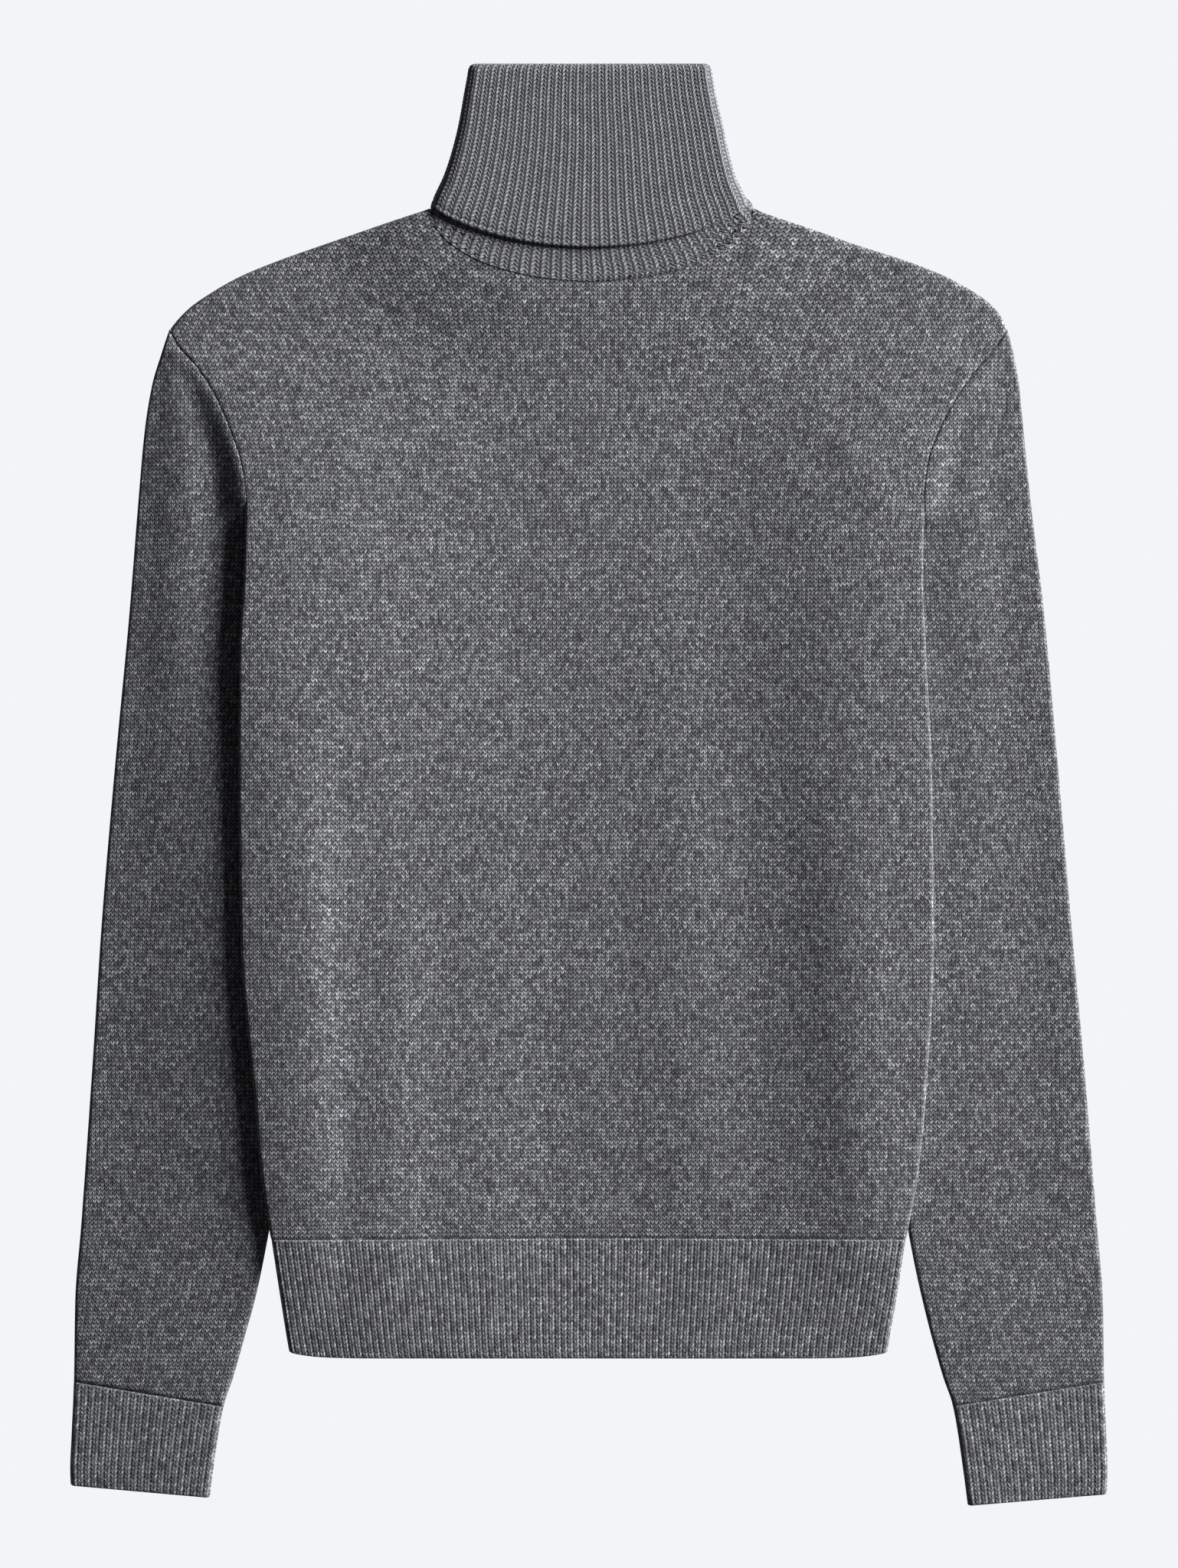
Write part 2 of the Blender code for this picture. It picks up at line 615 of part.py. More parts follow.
def body_face(layer, half, drop, side_levels):
    """Rows of one face of the front (layer 1) or the back (layer -1) at half a height.

    The last columns at each side and the last rows at the shoulders curve down to the
    middle of the layers, where front and back meet. Armholes and necklines stay level.
    """
    rounds = [math.pi / 2 * (1 - i / ROUND_STEPS) for i in range(ROUND_STEPS)]
    inner_us = [u for u in body_columns() if 0 < u < 1]
    columns = [("left", a, 0.0) for a in rounds] + [("left", 0.0, 0.0)]
    columns += [("level", 0.0, u) for u in inner_us]
    columns += [("right", 0.0, 1.0)] + [("right", a, 1.0) for a in reversed(rounds)]
    side, arm = UNDERARM_Y - HEM_Y, TIP_Y - UNDERARM_Y
    below = [UNDERARM_SHARE * (y - HEM_Y) / side for y in side_levels]
    above = [mix(UNDERARM_SHARE, 1, (y - UNDERARM_Y) / arm) for y in ARMHOLE_LEVELS]
    levels = [("level", 0.0, v) for v in below + above]
    levels += [("top", 0.0, 1.0)] + [("top", a, 1.0) for a in reversed(rounds)]

    def inset(angle, wrapped):
        level = FLAT - FLAT * math.sin(angle)
        curved = FLAT - half * math.sin(angle)
        return mix(level, curved, wrapped)

    def place(column_kind, angle_u, u, level_kind, angle_v, v):
        wrap_side = 1 - ease((v - UNDERARM_SHARE + PROBE) / PROBE)
        on_shoulder = min(u, 1 - u) < SHOULDER_SHARE - TINY
        wrap_top = 1.0 if on_shoulder else 0.0
        if column_kind != "level":
            per_mm = PROBE / math.dist(body_plan(PROBE, v, drop), body_plan(0.0, v, drop))
            step = inset(angle_u, wrap_side) * per_mm
            u = step if column_kind == "left" else 1 - step
        if level_kind == "top":
            per_mm = PROBE / math.dist(body_plan(u, 1 - PROBE, drop), body_plan(u, 1.0, drop))
            lean = SHOULDER_LEAN if on_shoulder else 1.0
            v = 1 - inset(angle_v, wrap_top) * per_mm / lean
        x, y = body_plan(u, v, drop)
        down = 1 - wrap_side * (1 - math.cos(angle_u)) if column_kind != "level" else 1.0
        if level_kind == "top":
            down *= 1 - wrap_top * (1 - math.cos(angle_v))
        height = SEAM / 2 + (half - SEAM / 2) * down
        fold = front_folds(x, y) * down if layer > 0 else 0.0
        return x, y, FLAT + body_rise(x, y) + fold + layer * height

    rows = []
    for level_kind, angle_v, v in levels:
        row = []
        for i, (column_kind, angle_u, u) in enumerate(columns):
            share = i / (len(columns) - 1)
            row.append((share, place(column_kind, angle_u, u, level_kind, angle_v, v)))
        rows.append(row)
    return rows


def body_panel(name, layer, drop, material):
    outer = body_face(layer, FLAT, drop, SIDE_LEVELS)
    inner = body_face(layer, AIR / 2, drop, SIDE_LEVELS_INSIDE)
    return open_wall(outer, inner).object(name, material)


# Hem rib


def hem_point(u, v):
    """A point of the hem rib: u from left to right, v from the seam to the loose edge."""
    corner = HEM_CORNER * abs(2 * u - 1) ** CORNER_SHARPNESS
    y = mix(HEM_Y - SEAM / 2, HEM_END_Y + corner, v)
    return mix(hem_x["left"](y), hem_x["right"](y), u), y


def hem_row(layer, half, v, shares, groove):
    """One row of a hem rib's face, over the curve of the side edges."""
    left, right = hem_point(0, v), hem_point(1, v)
    width = right[0] - left[0]
    inset = RIB_FLAT - half
    row = []
    for share in shares:
        place = over(width - 2 * inset, half, share)
        across, height = ribbed(place, share, HEM_RIBS, groove)
        x, y = hem_point((across + inset) / width, v)
        level = place[1] / half
        fold = front_folds(x, y) * level if layer > 0 else 0.0
        height = SEAM / 2 + max(height, 0.0) * (half - SEAM / 2) / half
        row.append((share, (x, y, RIB_FLAT + body_rise(x, y) + fold + layer * height)))
    return row


def hem_panel(name, layer, groove, material):
    width = hem_point(1, 0)[0] - hem_point(0, 0)[0]
    plain = plain_shares(width, RIB_FLAT, HEM_STEPS)
    steps = HEM_RIBS * SAMPLES_PER_RIB
    across = [i / steps for i in range(steps + 1)] if groove else plain
    outer = [
        hem_row(layer, RIB_FLAT - level.thinner, level.along, across, groove * level.groove)
        for level in RIB_LEVELS
    ]
    inner = [hem_row(layer, AIR / 2, v, plain, 0.0) for v in HEM_LEVELS_INSIDE]
    return open_wall(outer, inner).object(name, material)


# Sleeves and cuffs


def arm_point(side, share):
    """A point on the sleeve's side of the armhole seam, from the tip to the underarm."""
    y = mix(TIP_Y, UNDERARM_Y, share)
    return armhole_x[side](y) + SIGN[side] * ARM_CLEAR, y


def sleeve_point(side, u, v):
    """A point of the sleeve: u from its outer to its inner edge, v from armhole to cuff."""
    outer_y = mix(TIP_Y, CUFF_OUTER_Y, v)
    inner_y = mix(UNDERARM_Y, CUFF_INNER_Y, v)
    outer = outer_x[side](outer_y), outer_y
    inner = inner_edge(side, inner_y), inner_y
    tip, arm, under = arm_point(side, 0), arm_point(side, u), arm_point(side, 1)
    curve = max(0.0, 1 - v / ARMHOLE_REACH) ** 2
    return tuple(
        mix(outer[k], inner[k], u) + curve * (arm[k] - mix(tip[k], under[k], u)) for k in (0, 1)
    )


def cuff_point(side, u, v):
    """A point of the cuff: u from its outer to its inner edge, v from seam to loose edge."""
    outer_y = mix(CUFF_OUTER_Y - SEAM, CUFF_END_OUTER[side], v)
    inner_y = mix(CUFF_INNER_Y - SEAM, CUFF_END_INNER[side], v)
    y = mix(outer_y, inner_y, u)
    return mix(outer_x[side](outer_y), inner_edge(side, inner_y), u), y


def flat_ring(side, plan, v, half, middle, top, bottom, ribs=0, groove=0.0):
    """One ring round a flattened tube: shares over the top, then back underneath."""
    start, end = plan(side, 0, v), plan(side, 1, v)
    width = math.hypot(end[0] - start[0], end[1] - start[1])
    inset = middle - half
    ring = []
    for share in top:
        place = over(width - 2 * inset, half, share)
        across, height = ribbed(place, share, ribs, groove)
        x, y = plan(side, (across + inset) / width, v)
        ring.append((share / 2, (x, y, middle + sleeve_rise(side, x, y) + height)))
    for share in bottom[1:-1]:
        across, height, _ = over(width - 2 * inset, half, 1 - share)
        x, y = plan(side, (across + inset) / width, v)
        ring.append(((1 + share) / 2, (x, y, middle + sleeve_rise(side, x, y) - height)))
    return ring


def sleeve(side, material):
    top = plain_shares(SLEEVE_WIDTH, FLAT, SLEEVE_TOP_STEPS)
    bottom = plain_shares(SLEEVE_WIDTH, FLAT, SLEEVE_BOTTOM_STEPS)
    top_inside = plain_shares(SLEEVE_WIDTH, AIR / 2, SLEEVE_TOP_STEPS_INSIDE)
    bottom_inside = plain_shares(SLEEVE_WIDTH, AIR / 2, SLEEVE_BOTTOM_STEPS_INSIDE)
    outer = [
        flat_ring(side, sleeve_point, v, FLAT, FLAT, top, bottom) for v in SLEEVE_LEVELS
    ]
    inner = [
        flat_ring(side, sleeve_point, v, AIR / 2, FLAT, top_inside, bottom_inside)
        for v in SLEEVE_LEVELS_INSIDE
    ]
    return tube_wall(outer, inner).object("sleeve_" + side, material)


def cuff_ring(side, level, top, bottom):
    """One ring of a cuff's outer face, its ribs as high as they are at that level."""
    half = RIB_FLAT - level.thinner
    groove = CUFF_GROOVE * level.groove
    return flat_ring(side, cuff_point, level.along, half, RIB_FLAT, top, bottom, CUFF_RIBS, groove)


def cuff(side, material):
    steps = CUFF_RIBS * SAMPLES_PER_RIB
    top = [i / steps for i in range(steps + 1)]
    bottom = plain_shares(CUFF_WIDTH, RIB_FLAT, CUFF_STEPS)
    inside = plain_shares(CUFF_WIDTH, AIR / 2, CUFF_STEPS)
    outer = [cuff_ring(side, level, top, bottom) for level in RIB_LEVELS]
    inner = [
        flat_ring(side, cuff_point, v, AIR / 2, RIB_FLAT, inside, inside)
        for v in CUFF_LEVELS_INSIDE
    ]
    return tube_wall(outer, inner).object("cuff_" + side, material)


# Collar: one ribbed tube, folded over


def collar_edges(ring):
    """The ring's two ends: nested by its half height, or spread to the neck seam."""
    inset = TURN_OUT - ring.half
    left, right = collar_x["left"](ring.end) + inset, collar_x["right"](ring.end) - inset
    seam = ease(1 - (ring.end - NECK_Y) / COLLAR_FLARE)
    if ring.half > STAND_OUT:
        return left, right
    inside = STAND_OUT - ring.half
    left = mix(left, shoulder_x["left"](NECK_Y) + inside + SEAM, seam)
    return left, mix(right, shoulder_x["right"](NECK_Y) - inside - SEAM, seam)


def collar_line(ring, layer):
    """A fine line along the ring's upper or lower half, from its left to its right end."""
    left, right = collar_edges(ring)
    drop = ring.front_drop if layer > 0 else ring.back_drop
    line = []
    for i in range(COLLAR_LINE_STEPS + 1):
        across, height, out = over(right - left, ring.half, i / COLLAR_LINE_STEPS)
        t = 2 * across / (right - left) - 1
        bend = math.sqrt(max(0.0, 1 - t * t))
        bend = mix(bend * bend, bend, ring.round)
        line.append((left + across, ring.end - drop * bend, height, out))
    return line


def even_places(line, steps):
    """Points at even distances along a line, each with its share of the length."""
    lengths = [0.0]
    for one, two in zip(line, line[1:]):
        lengths.append(lengths[-1] + math.dist(one[:3], two[:3]))
    places, i = [], 0
    for k in range(steps + 1):
        at = lengths[-1] * k / steps
        while i < len(line) - 2 and lengths[i + 1] < at:
            i += 1
        t = min(1.0, (at - lengths[i]) / (lengths[i + 1] - lengths[i]))
        one, two = line[i], line[i + 1]
        point = tuple(mix(one[n], two[n], t) for n in range(3))
        out = tuple(mix(one[3][n], two[3][n], t) for n in range(2))
        places.append((k / steps, point, out))
    return places


def collar_ring(ring, top_steps):
    """One closed ring: ribs over the top, plain underneath, where the collar rests."""
    points = []
    for share, (x, y, height), (out_x, out_z) in even_places(collar_line(ring, 1), top_steps):
        depth = ring.groove * (0.5 - 0.5 * math.cos(2 * math.pi * share * COLLAR_RIBS))
        points.append((share / 2, (x - out_x * depth, y, TURN_OUT + height - out_z * depth)))
    under = even_places(collar_line(ring, -1), COLLAR_BOTTOM_STEPS)[1:-1]
    for share, (x, y, height), _ in reversed(under):
        points.append((1 - share / 2, (x, y, TURN_OUT - height)))
    return points


def collar(material):
    ribs = COLLAR_RIBS * SAMPLES_PER_RIB
    rings = [collar_ring(ring, ribs) for ring in RIBBED_RINGS_STAND]
    rings += [collar_ring(ring, COLLAR_STEPS) for ring in PLAIN_RINGS_CHANNEL]
    rings += [collar_ring(ring, ribs) for ring in RIBBED_RINGS_OUTSIDE]
    rings += [collar_ring(ring, COLLAR_STEPS) for ring in PLAIN_RINGS_INSIDE_STAND]
    wall = Wall()
    numbers = wall.grid(rings, closed=True)
    wall.stitch(numbers[-1], numbers[0], closed=True)
    return wall.object("collar", material)


def wool(name, colour):
    """A matt grey wool."""
    material = bpy.data.materials.new(name)
    material.use_nodes = True
    shader = material.node_tree.nodes["Principled BSDF"]
    shader.inputs["Base Color"].default_value = (*colour, 1.0)
    shader.inputs["Roughness"].default_value = 0.9
    shader.inputs["Metallic"].default_value = 0.0
    return material


def build():
    for old in list(bpy.data.objects):
        bpy.data.objects.remove(old)
    plain = wool("plain_knit", (0.15, 0.152, 0.163))
    ribs = wool("ribbed_knit", (0.135, 0.138, 0.148))
    body_panel("body_front", 1, FRONT_NECK_DROP, plain)
    body_panel("body_back", -1, BACK_NECK_DROP, plain)
    hem_panel("hem_rib_front", 1, HEM_GROOVE, ribs)
    hem_panel("hem_rib_back", -1, 0.0, ribs)
    for side in SIGN:
        sleeve(side, plain)
        cuff(side, ribs)
    collar(ribs)


build()
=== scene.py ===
"""The looks of the turtleneck sweater: each cut piece as knitted cloth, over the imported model.

Tables and formulas are the model's own, in millimetres, taken at a finer step: +X is the
viewer's right, +Y points to the neck, +Z points up from the surface underneath. Meshes,
lights and the camera are in metres. Each mesh carries its knit coordinates, so wales,
courses and ribs lie as they were knitted.
"""

import math
from collections import namedtuple

import bmesh
import bpy
import numpy as np
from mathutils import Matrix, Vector


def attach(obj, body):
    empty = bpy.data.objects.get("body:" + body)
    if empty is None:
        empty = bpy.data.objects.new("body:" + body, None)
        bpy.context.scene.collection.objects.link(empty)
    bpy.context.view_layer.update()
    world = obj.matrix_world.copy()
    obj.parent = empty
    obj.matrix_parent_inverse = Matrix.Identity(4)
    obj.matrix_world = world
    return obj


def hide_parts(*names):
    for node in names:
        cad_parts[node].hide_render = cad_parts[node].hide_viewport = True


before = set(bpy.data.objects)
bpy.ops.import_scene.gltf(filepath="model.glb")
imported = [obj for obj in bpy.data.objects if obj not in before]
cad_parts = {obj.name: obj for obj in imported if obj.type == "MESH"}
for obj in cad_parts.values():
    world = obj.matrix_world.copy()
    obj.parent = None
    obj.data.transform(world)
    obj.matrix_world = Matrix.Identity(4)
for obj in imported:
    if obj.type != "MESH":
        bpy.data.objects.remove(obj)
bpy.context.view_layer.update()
MM = 0.001

# Walls and layers, in millimetres
JERSEY = 1.8  # wall of the plain knit
RIB = 2.4  # wall of the ribbed knit, over the ribs
AIR = 1.0  # between front and back where they lie on each other
SEAM = 0.3  # between two pieces sewn together
TURN_AIR = 0.4  # between the collar's stand and the part turned down over it
NECK_AIR = 0.6  # inside the flat collar
FLAT = JERSEY + AIR / 2  # half height of front and back together
RIB_FLAT = RIB + AIR / 2  # half height of two ribbed layers together
STAND_IN = NECK_AIR / 2  # half heights of the collar's four faces
STAND_OUT = STAND_IN + RIB
TURN_IN = STAND_OUT + TURN_AIR
TURN_OUT = TURN_IN + RIB

At = namedtuple("At", "y left right")  # a number for each side of the garment at a height

# The body's outline: where its side edges, armholes and shoulders lie at each height
HEM_Y = -262.0
UNDERARM_Y = 166.0
TIP_Y = 262.5
NECK_Y = 331.5
HEM_END_Y = -331.3
SIDES = [
    At(HEM_Y, -183.0, 182.6),
    At(-225.0, -188.6, 189.3),
    At(-181.0, -192.4, 193.8),
    At(-90.0, -200.1, 198.4),
    At(0.0, -201.3, 197.4),
    At(76.0, -200.8, 194.0),
    At(116.5, -198.3, 192.2),
    At(UNDERARM_Y, -197.2, 193.0),
]
ARMHOLES = [
    At(UNDERARM_Y, -197.2, 193.0),
    At(185.0, -199.9, 194.9),
    At(202.5, -205.6, 200.6),
    At(222.8, -214.4, 211.2),
    At(240.5, -225.5, 223.9),
    At(252.4, -236.2, 234.2),
    At(TIP_Y, -241.6, 240.9),
]
SHOULDERS = [
    At(TIP_Y, -241.6, 240.9),
    At(267.0, -238.2, 239.2),
    At(275.3, -229.9, 233.4),
    At(284.1, -217.1, 221.9),
    At(293.0, -201.2, 205.6),
    At(301.8, -180.0, 183.5),
    At(310.6, -155.3, 156.2),
    At(319.4, -129.3, 130.6),
    At(328.3, -101.9, 103.2),
    At(NECK_Y, -91.6, 94.9),
]
HEM_SIDES = [
    At(HEM_END_Y, -172.2, 171.8),
    At(-324.7, -173.4, 172.5),
    At(-298.3, -177.4, 176.9),
    At(HEM_Y, -182.6, 182.2),
]
HEM_CORNER = 3.6  # how far the hem's corners are drawn up
FRONT_NECK_DROP = 42.0
BACK_NECK_DROP = 19.0

# The sleeves: outer edges from the shoulder tips down, free inner edges below the body
CUFF_OUTER_Y = -344.6
CUFF_INNER_Y = -358.6
CUFF_END_OUTER = {"left": -404.6, "right": -409.6}
CUFF_END_INNER = {"left": -411.4, "right": -416.2}
SLEEVE_OUTER = [
    At(-410.0, -298.6, 298.6),
    At(-395.3, -299.3, 299.1),
    At(-377.7, -298.6, 298.5),
    At(CUFF_OUTER_Y, -297.2, 297.2),
    At(-298.3, -296.5, 296.5),
    At(-254.1, -293.0, 293.0),
    At(-165.9, -286.8, 285.9),
    At(-77.7, -281.0, 278.0),
    At(10.6, -273.5, 270.5),
    At(98.8, -265.2, 262.5),
    At(165.0, -259.9, 254.6),
    At(204.7, -256.3, 250.6),
    At(231.2, -251.9, 248.0),
    At(248.8, -246.6, 244.8),
    At(TIP_Y, -242.05, 241.35),
]
SLEEVE_FREE_Y = -259.0  # below this the inner edges lie clear of the body
SLEEVE_INNER = [
    At(-416.0, -219.2, 218.4),
    At(-395.3, -216.6, 215.7),
    At(CUFF_INNER_Y, -210.6, 209.8),
    At(-342.4, -205.2, 204.3),
    At(-315.9, -197.7, 196.8),
    At(-298.3, -192.8, 192.4),
    At(-280.6, -188.8, 188.4),
    At(SLEEVE_FREE_Y, -184.6, 184.2),
]
# How far each sleeve's inner edge lies under the body's side edge, or clear of it below 0
TUCKS = [
    At(SLEEVE_FREE_Y, -1.0, -1.0),
    At(-251.0, 1.0, 1.0),
    At(-225.0, 10.0, 9.0),
    At(-180.0, 17.0, 15.0),
    At(-40.0, 18.0, 17.0),
    At(82.0, 18.0, 17.0),
    At(120.0, 4.0, 4.0),
    At(138.0, 0.4, 0.4),
    At(UNDERARM_Y, 0.4, 0.4),
]

# How the layers lie: the body's edges rise over the sleeves, the sleeves rise in a ridge
EDGE_SHELF = {"left": 10.0, "right": 18.0}  # the raised edge is level this far in
EDGE_FALL = {"left": 170.0, "right": 130.0}  # and is down on the surface this far in
EDGE_RISES = [  # of the body's side edges and armholes
    At(HEM_END_Y, 0.0, 0.0),
    At(-300.0, 3.2, 2.4),
    At(HEM_Y, 6.8, 5.6),
    At(-210.0, 8.8, 6.5),
    At(-120.0, 10.4, 6.9),
    At(60.0, 10.4, 6.9),
    At(143.0, 8.8, 6.3),
    At(190.0, 6.4, 4.8),
    At(232.0, 3.4, 2.6),
    At(TIP_Y, 0.0, 0.0),
]
SLEEVE_FALL = 18.0  # across the sleeve, from the raised armhole seam to the surface
SLEEVE_FALL_LENGTH = 26.0  # and down its inner edge from the underarm
NECK_RISE = TURN_OUT - FLAT  # lifts the neckline to the middle of the collar's layers
NECK_SHELF = 6.0
NECK_FALL = 60.0
RIDGES = [  # how high each sleeve's ridge is
    At(-416.0, 1.3, 0.5),
    At(CUFF_OUTER_Y, 1.6, 0.6),
    At(HEM_Y, 1.7, 0.8),
    At(-210.0, 3.2, 1.2),
    At(-120.0, 4.6, 1.7),
    At(-30.0, 4.8, 1.8),
    At(60.0, 4.6, 1.8),
    At(143.0, 3.7, 1.7),
    At(205.0, 2.8, 1.4),
    At(240.0, 1.2, 0.7),
    At(TIP_Y, 0.0, 0.0),
]
# Across the sleeve, from the body's edge to the sleeve's outer edge: the share of the
# ridge's height along the arm and, with its crest further out, at the sleeve's cap
Slope = namedtuple("Slope", "across left right left_cap right_cap")
RIDGE_SLOPES = [
    Slope(0.0, 1.0, 1.0, 0.0, 0.0),
    Slope(0.1, 0.96, 0.72, 0.02, 0.15),
    Slope(0.28, 0.8, 0.6, 0.2, 0.85),
    Slope(0.42, 0.62, 0.36, 0.7, 1.0),
    Slope(0.56, 0.42, 0.08, 1.0, 0.6),
    Slope(0.7, 0.23, 0.0, 0.76, 0.2),
    Slope(0.85, 0.07, 0.2, 0.3, 0.3),
    Slope(1.0, 0.0, 0.46, 0.0, 0.3),
]
CAP_START = -60.0  # the crest moves outwards from this height
CAP_FULL = 205.0  # up to this one

# Soft folds of the front layer, each along the line from low to high, and how far each
# reaches to the left and to the right of that line
Fold = namedtuple("Fold", "low_x low_y high_x high_y left right height")
FRONT_FOLDS = [
    Fold(-158.0, -345.0, -168.0, 150.0, 50.0, 26.0, 2.6),
    Fold(-122.0, -350.0, -98.0, 20.0, 28.0, 30.0, 1.5),
    Fold(-60.0, -360.0, -52.0, 150.0, 46.0, 46.0, 1.4),
    Fold(72.0, -370.0, 46.0, 150.0, 42.0, 42.0, 1.7),
    Fold(166.0, -345.0, 134.0, 130.0, 36.0, 36.0, 1.5),
    Fold(-184.0, 140.0, -112.0, 244.0, 15.0, 15.0, 0.7),
    Fold(180.0, 144.0, 122.0, 232.0, 14.0, 14.0, 0.6),
]
FOLD_START = 0.34  # share of a fold's length over which it rises at its low end
FOLD_END = 0.5  # and over which it dies away at its high end

# The collar's faces as rings: height of their ends, drop of the front and back between them,
# how round that drop is, half height of the layers, and depth of the grooves between ribs
Ring = namedtuple("Ring", "end front_drop back_drop round half groove")
FOLD_Y = 414.7
LOOSE_Y = 334.6
STAND_RINGS = [  # the ribbed stand, from the neck seam up to where the turned part hides it
    Ring(NECK_Y, FRONT_NECK_DROP, BACK_NECK_DROP, 1.0, STAND_OUT, 0.36),
    Ring(335.2, 38.6, 17.6, 1.0, STAND_OUT, 0.33),
    Ring(350.0, 30.5, 13.0, 0.85, STAND_OUT, 0.33),
]
CHANNEL_RINGS = [  # the plain inside of the turn, between the two layers
    Ring(372.0, 17.0, 8.0, 0.6, STAND_OUT, 0.0),
    Ring(402.0, 2.5, 1.8, 0.3, STAND_OUT, 0.0),
    Ring(409.4, 0.9, 0.6, 0.2, (STAND_OUT + TURN_IN) / 2, 0.0),
    Ring(402.0, 2.5, 1.8, 0.3, TURN_IN, 0.0),
    Ring(372.0, 13.0, 20.0, 0.4, TURN_IN, 0.0),
    Ring(LOOSE_Y + 1.0, 24.8, 43.0, 0.5, TURN_IN, 0.0),
]
TURN_RINGS = [  # the ribbed part turned down, from its loose edge up over the roll
    Ring(LOOSE_Y + 0.2, 25.2, 43.8, 0.5, TURN_IN + 0.3, 0.0),
    Ring(LOOSE_Y - 0.6, 25.2, 44.0, 0.5, TURN_OUT - 1.1, 0.0),
    Ring(LOOSE_Y + 0.6, 25.0, 43.2, 0.5, TURN_OUT - 0.1, 0.1),
    Ring(LOOSE_Y + 1.9, 24.7, 42.2, 0.5, TURN_OUT - 0.3, 0.3),
    Ring(338.6, 24.0, 40.0, 0.5, TURN_OUT, 0.34),
    Ring(362.0, 16.5, 26.0, 0.4, TURN_OUT, 0.36),
    Ring(393.0, 6.0, 8.0, 0.3, TURN_OUT, 0.36),
    Ring(410.4, 0.9, 0.6, 0.2, TURN_OUT - 0.1, 0.34),
    Ring(413.8, 0.3, -0.4, 0.2, TURN_OUT - 1.1, 0.3),
    Ring(FOLD_Y, 0.0, -0.8, 0.2, (TURN_OUT + STAND_IN) / 2, 0.3),
]
INSIDE_RINGS = [  # the plain inside of the stand, down to the neck seam
    Ring(412.6, 0.2, -0.4, 0.2, STAND_IN + 0.7, 0.0),
    Ring(406.0, 1.0, 0.8, 0.3, STAND_IN, 0.0),
    Ring(366.0, 20.0, 10.0, 0.7, STAND_IN, 0.0),
    Ring(340.0, 36.0, 17.0, 1.0, STAND_IN, 0.0),
    Ring(NECK_Y, FRONT_NECK_DROP, BACK_NECK_DROP, 1.0, STAND_IN, 0.0),
]
COLLAR_EDGES = [  # outermost edge of the turned-down part at each height
    At(LOOSE_Y - 1.0, -91.6, 92.2),
    At(341.5, -88.0, 88.6),
    At(350.0, -84.0, 84.6),
    At(363.5, -79.4, 80.7),
    At(381.2, -75.0, 76.8),
    At(398.8, -71.9, 72.8),
    At(410.0, -70.0, 71.1),
    At(FOLD_Y, -69.6, 70.9),
]

# Ribs: how many, and how deep the grooves between them are
HEM_RIBS = 100
CUFF_RIBS = 22
COLLAR_RIBS = 36
HEM_GROOVE = 0.32
CUFF_GROOVE = 0.3
GROOVE_SHARPNESS = 4  # the higher, the narrower the grooves
SEAM_STRENGTH = 0.3  # share of a band's grooves that is left at its seam
LOOSE_STRENGTH = 0.5  # and at its loose edge

# The knit: one wale is one column of stitches, one course is one row of them
WALE = 2.35
COURSE = 2.4
RIB_COURSE = 2.45
COLLAR_COURSE = 2.33
COLLAR_STITCH = 0.45  # how high the collar's stitches stand, as a share of its grooves
COLLAR_LEAN = 0.95  # how many courses their legs climb from the middle of a rib to its side
STITCH_START = 0.55  # share of the way out from which they fade out
STITCH_FADE = 0.4  # and over which they do
Lean = namedtuple("Lean", "y shift")
WALE_LEANS = [  # how far the outer wales of the body lean outwards towards the shoulders
    Lean(120.0, 0.0),
    Lean(178.0, 4.0),
    Lean(231.0, 14.5),
    Lean(TIP_Y, 25.0),
    Lean(306.0, 42.0),
    Lean(NECK_Y, 52.0),
]
LEAN_REACH = 190.0  # from the middle out to where wales lean most

# How the plan of each piece is filled in
UNDERARM_SHARE = 0.8  # of the way from the hem seam to the shoulder tips
SHOULDER_SHARE = 0.25  # of the body's columns that end on each shoulder line
SHOULDER_BUNCH = 0.75  # draws the points of a shoulder line towards its tip
SHOULDER_LEAN = 0.75  # how square the columns meet the shoulder lines
BEND_SHARPNESS = 8  # the higher, the nearer to the shoulders the columns bend
CORNER_SHARPNESS = 14  # the higher, the shorter the hem's drawn-up corners
TIP_SHARPNESS = 40  # the higher, the shorter the part of the armhole with a seam gap
ARMHOLE_REACH = 0.16  # share of the sleeve over which the armhole's curve fades out
COLLAR_FLARE = 12.0  # height over which the stand widens to the neck seam
SHOULDER_SPAN = 150.0  # lengths for spacing the columns at the shoulders and the neckline
NECK_SPAN = 146.0
ARM_STRETCH = 1.2  # how much closer the rows stand along the armholes
ROUNDING_END = 0.02  # share of the height over which the sides' rounding ends
PROBE = 0.02  # a small step of u or v, for measuring lengths
TINY = 1e-9  # less than any step along an edge

# Seams: each piece runs on a little under the one sewn over it, and both dip there
UNDERLAP = 0.9
NECK_LAP_SHARE = 0.06  # of the neckline, over which that grows from its ends
ARM_UNDERLAP = 0.4
BODY_DIP = 0.5
SLEEVE_DIP = {"left": 1.0, "right": 0.75}
DIP_REACH = 2.2
BAND_ROUND = 1.1  # how far the ribbed bands round off at their ends

# Mesh steps
CLOTH_STEP = 3.0
BACK_STEP = 6.0
INSIDE_STEP = 14.0
BAND_STEP = 2.2
INSIDE_BAND_STEPS = 5
COLLAR_STEP = 0.55
COLLAR_PLAIN_STEP = 4.0
COLLAR_PLAIN_STEPS = 60  # across a half without ribs
COLLAR_LINE_STEPS = 480
NECK_LINE_STEPS = 40
TURN_STEPS = 6  # round a folded edge
SEAM_ROWS = 4  # of the sleeve beside the armhole seam
SAMPLES_PER_RIB = 8
SLEEVE_WIDTH = 96.0  # widths for spacing the points round a tube
CUFF_WIDTH = 87.0


# Curves through tables


